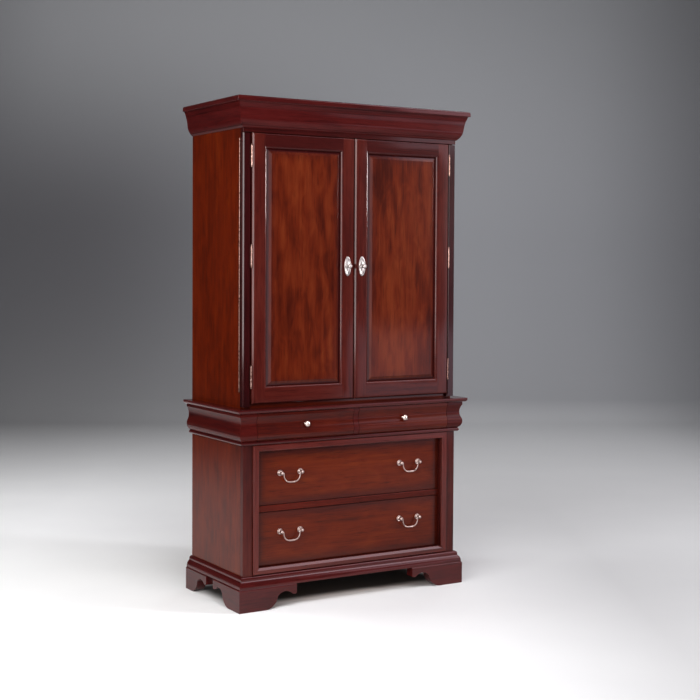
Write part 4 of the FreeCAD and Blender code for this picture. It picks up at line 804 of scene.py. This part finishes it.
white = lay(tree, "ValToRGB", {0: fibre})
white.color_ramp.elements[0].color = (0.83, 0.83, 0.83, 1)
white.color_ramp.elements[1].color = (0.87, 0.87, 0.865, 1)
# Painted light and shade on the floor: brighter on the left, darker towards the right where the
# case's shadow falls, darker still on the near right, and a painted shadow where the case stands
# over it.
painted_light_across_floor = lay(tree, "MapRange", {"Value": aside, "From Min": -1.4, "From Max": 0.6,
                                      "To Min": 1.11, "To Max": 0.77}).outputs[0]
near_right = lay(tree, "MapRange", {"Value": aside, "From Min": 0.6, "From Max": 1.2,
                                    "To Max": 0.26}).outputs[0]
fading = lay(tree, "MapRange", {"Value": away, "From Min": 0.0, "From Max": 3.0,
                                "To Min": 1.0, "To Max": 0.0}).outputs[0]
painted_shade_near_right = sums(tree, "SUBTRACT", 1.0, sums(tree, "MULTIPLY", near_right, fading))
under_half_width, under_half_depth, under_middle = 0.47, 0.19, 0.06
x, y, _ = parts_of_place(tree, place)
y = sums(tree, "SUBTRACT", y, under_middle)
within = sums(tree, "MAXIMUM",
              sums(tree, "SUBTRACT", sums(tree, "ABSOLUTE", x), under_half_width),
              sums(tree, "SUBTRACT", sums(tree, "ABSOLUTE", y), under_half_depth))
painted_shadow_under_case = lay(tree, "MapRange", {"Value": within, "From Min": -0.04, "From Max": 0.03,
                                 "To Min": 0.10, "To Max": 1.0},
              interpolation_type="SMOOTHSTEP").outputs[0]
painted_floor_light = sums(tree, "MULTIPLY", painted_light_across_floor, sums(tree, "MULTIPLY", painted_shade_near_right, painted_shadow_under_case))
near = lay(tree, "Mix", {0: 1.0, 6: white.outputs[0], 7: painted_floor_light}, data_type="RGBA",
           blend_type="MULTIPLY").outputs[2]
shade = lay(tree, "Mix", {0: to_wall, 6: near, 7: wall}, data_type="RGBA").outputs[2]
shade = lay(tree, "Mix", {0: to_sides, 6: shade, 7: (0.20, 0.20, 0.21, 1)},
            data_type="RGBA").outputs[2]
tree.links.new(lay(tree, "BsdfPrincipled", {"Base Color": shade,
                                            "Roughness": 0.85}).outputs[0], out.inputs[0])
sweep.data.materials.append(paper)

# ---------------------------------------------------------------- camera
# A camera on a stand, a little under eye height and to the left of the front, with a long lens.
# It is turned, pitched and rolled by the three angles below, in radians.
eye = Vector((-2.7879, -4.7473, 1.3069))
yaw, pitch, roll = -0.5475, 0.0320, 0.0054
ahead = Vector((-math.sin(yaw) * math.cos(pitch), math.cos(yaw) * math.cos(pitch),
                -math.sin(pitch)))
right = Vector((math.cos(yaw), math.sin(yaw), 0.0))
over = right.cross(ahead)
right_hand = right * math.cos(roll) + over * math.sin(roll)
upward = over * math.cos(roll) - right * math.sin(roll)
lens = bpy.data.cameras.new("studio_camera")
lens.lens = 70.0
lens.sensor_width = 36.0
lens.shift_y = -0.06
lens.clip_start, lens.clip_end = 0.05, 60.0
camera = bpy.data.objects.new("studio_camera", lens)
bpy.context.scene.collection.objects.link(camera)
camera.matrix_world = Matrix.Translation(eye) @ Matrix(
    (right_hand, upward, -ahead)).transposed().to_4x4()
bpy.context.scene.camera = camera

# ---------------------------------------------------------------- studio lights
# A large soft light high on the left of the camera, a smaller one on the right that throws the
# pulls' shadows down to the left, pale boards that show as sheen in the lacquer, and a dim even
# room.
def soft_box(name, place, aim, size, watts, tint=(1.0, 1.0, 1.0)):
    """A rectangular soft light at a place, aimed at a point."""
    lamp = bpy.data.lights.new(name, "AREA")
    lamp.shape = "RECTANGLE"
    lamp.size, lamp.size_y = size
    lamp.energy = watts
    lamp.color = tint
    box = bpy.data.objects.new(name, lamp)
    bpy.context.scene.collection.objects.link(box)
    direction = Vector(aim) - Vector(place)
    turned_to = direction.to_track_quat("-Z", "Y").to_matrix().to_4x4()
    box.matrix_world = Matrix.Translation(place) @ turned_to


lilac = (0.9, 0.86, 1.0)
soft_box("left_soft_box", (-3.7, -2.4, 2.1), (0, 0, 1.0), (3.2, 3.0), 228)
soft_box("right_soft_box", (3.5, -3.0, 1.9), (0, -0.2, 0.9), (0.5, 0.5), 108)
soft_box("overhead_soft_box", (-0.6, -2.1, 4.3), (-0.1, -0.2, 0.8), (1.8, 1.5), 88)
soft_box("left_floor_light", (-2.6, 1.6, 4.2), (-2.0, 0.9, 0.0), (1.4, 1.4), 60)
soft_box("top_strip", (2.7, -1.6, 4.3), (2.0, -1.2, 0.0), (1.5, 3.0), 64, (0.93, 0.90, 1.0))
soft_box("right_reflector", (3.75, -3.3, 1.05), (0, -0.2, 0.95), (1.6, 1.4), 12, lilac)
soft_box("low_reflector", (3.05, -4.1, 0.42), (0.3, -0.2, 0.7), (1.3, 0.8), 5, lilac)
soft_box("high_reflector", (2.75, -2.85, 2.6), (0.2, -0.2, 0.3), (1.5, 1.2), 11, lilac)
soft_box("fill_board", (-1.45, -5.3, 1.5), (0, 0, 1.2), (1.9, 2.8), 44, (1.0, 0.9, 0.95))
soft_box("backdrop_light", (3.2, 2.6, 4.2), (3.2, 5.0, 0.0), (1.5, 1.5), 62)

room = bpy.data.worlds.new("studio_room")
room.use_nodes = True
room.node_tree.nodes["Background"].inputs["Color"].default_value = (0.62, 0.64, 0.68, 1)
room.node_tree.nodes["Background"].inputs["Strength"].default_value = 0.10
bpy.context.scene.world = room
bpy.context.scene.view_settings.view_transform = "Standard"
bpy.context.scene.view_settings.gamma = 0.85
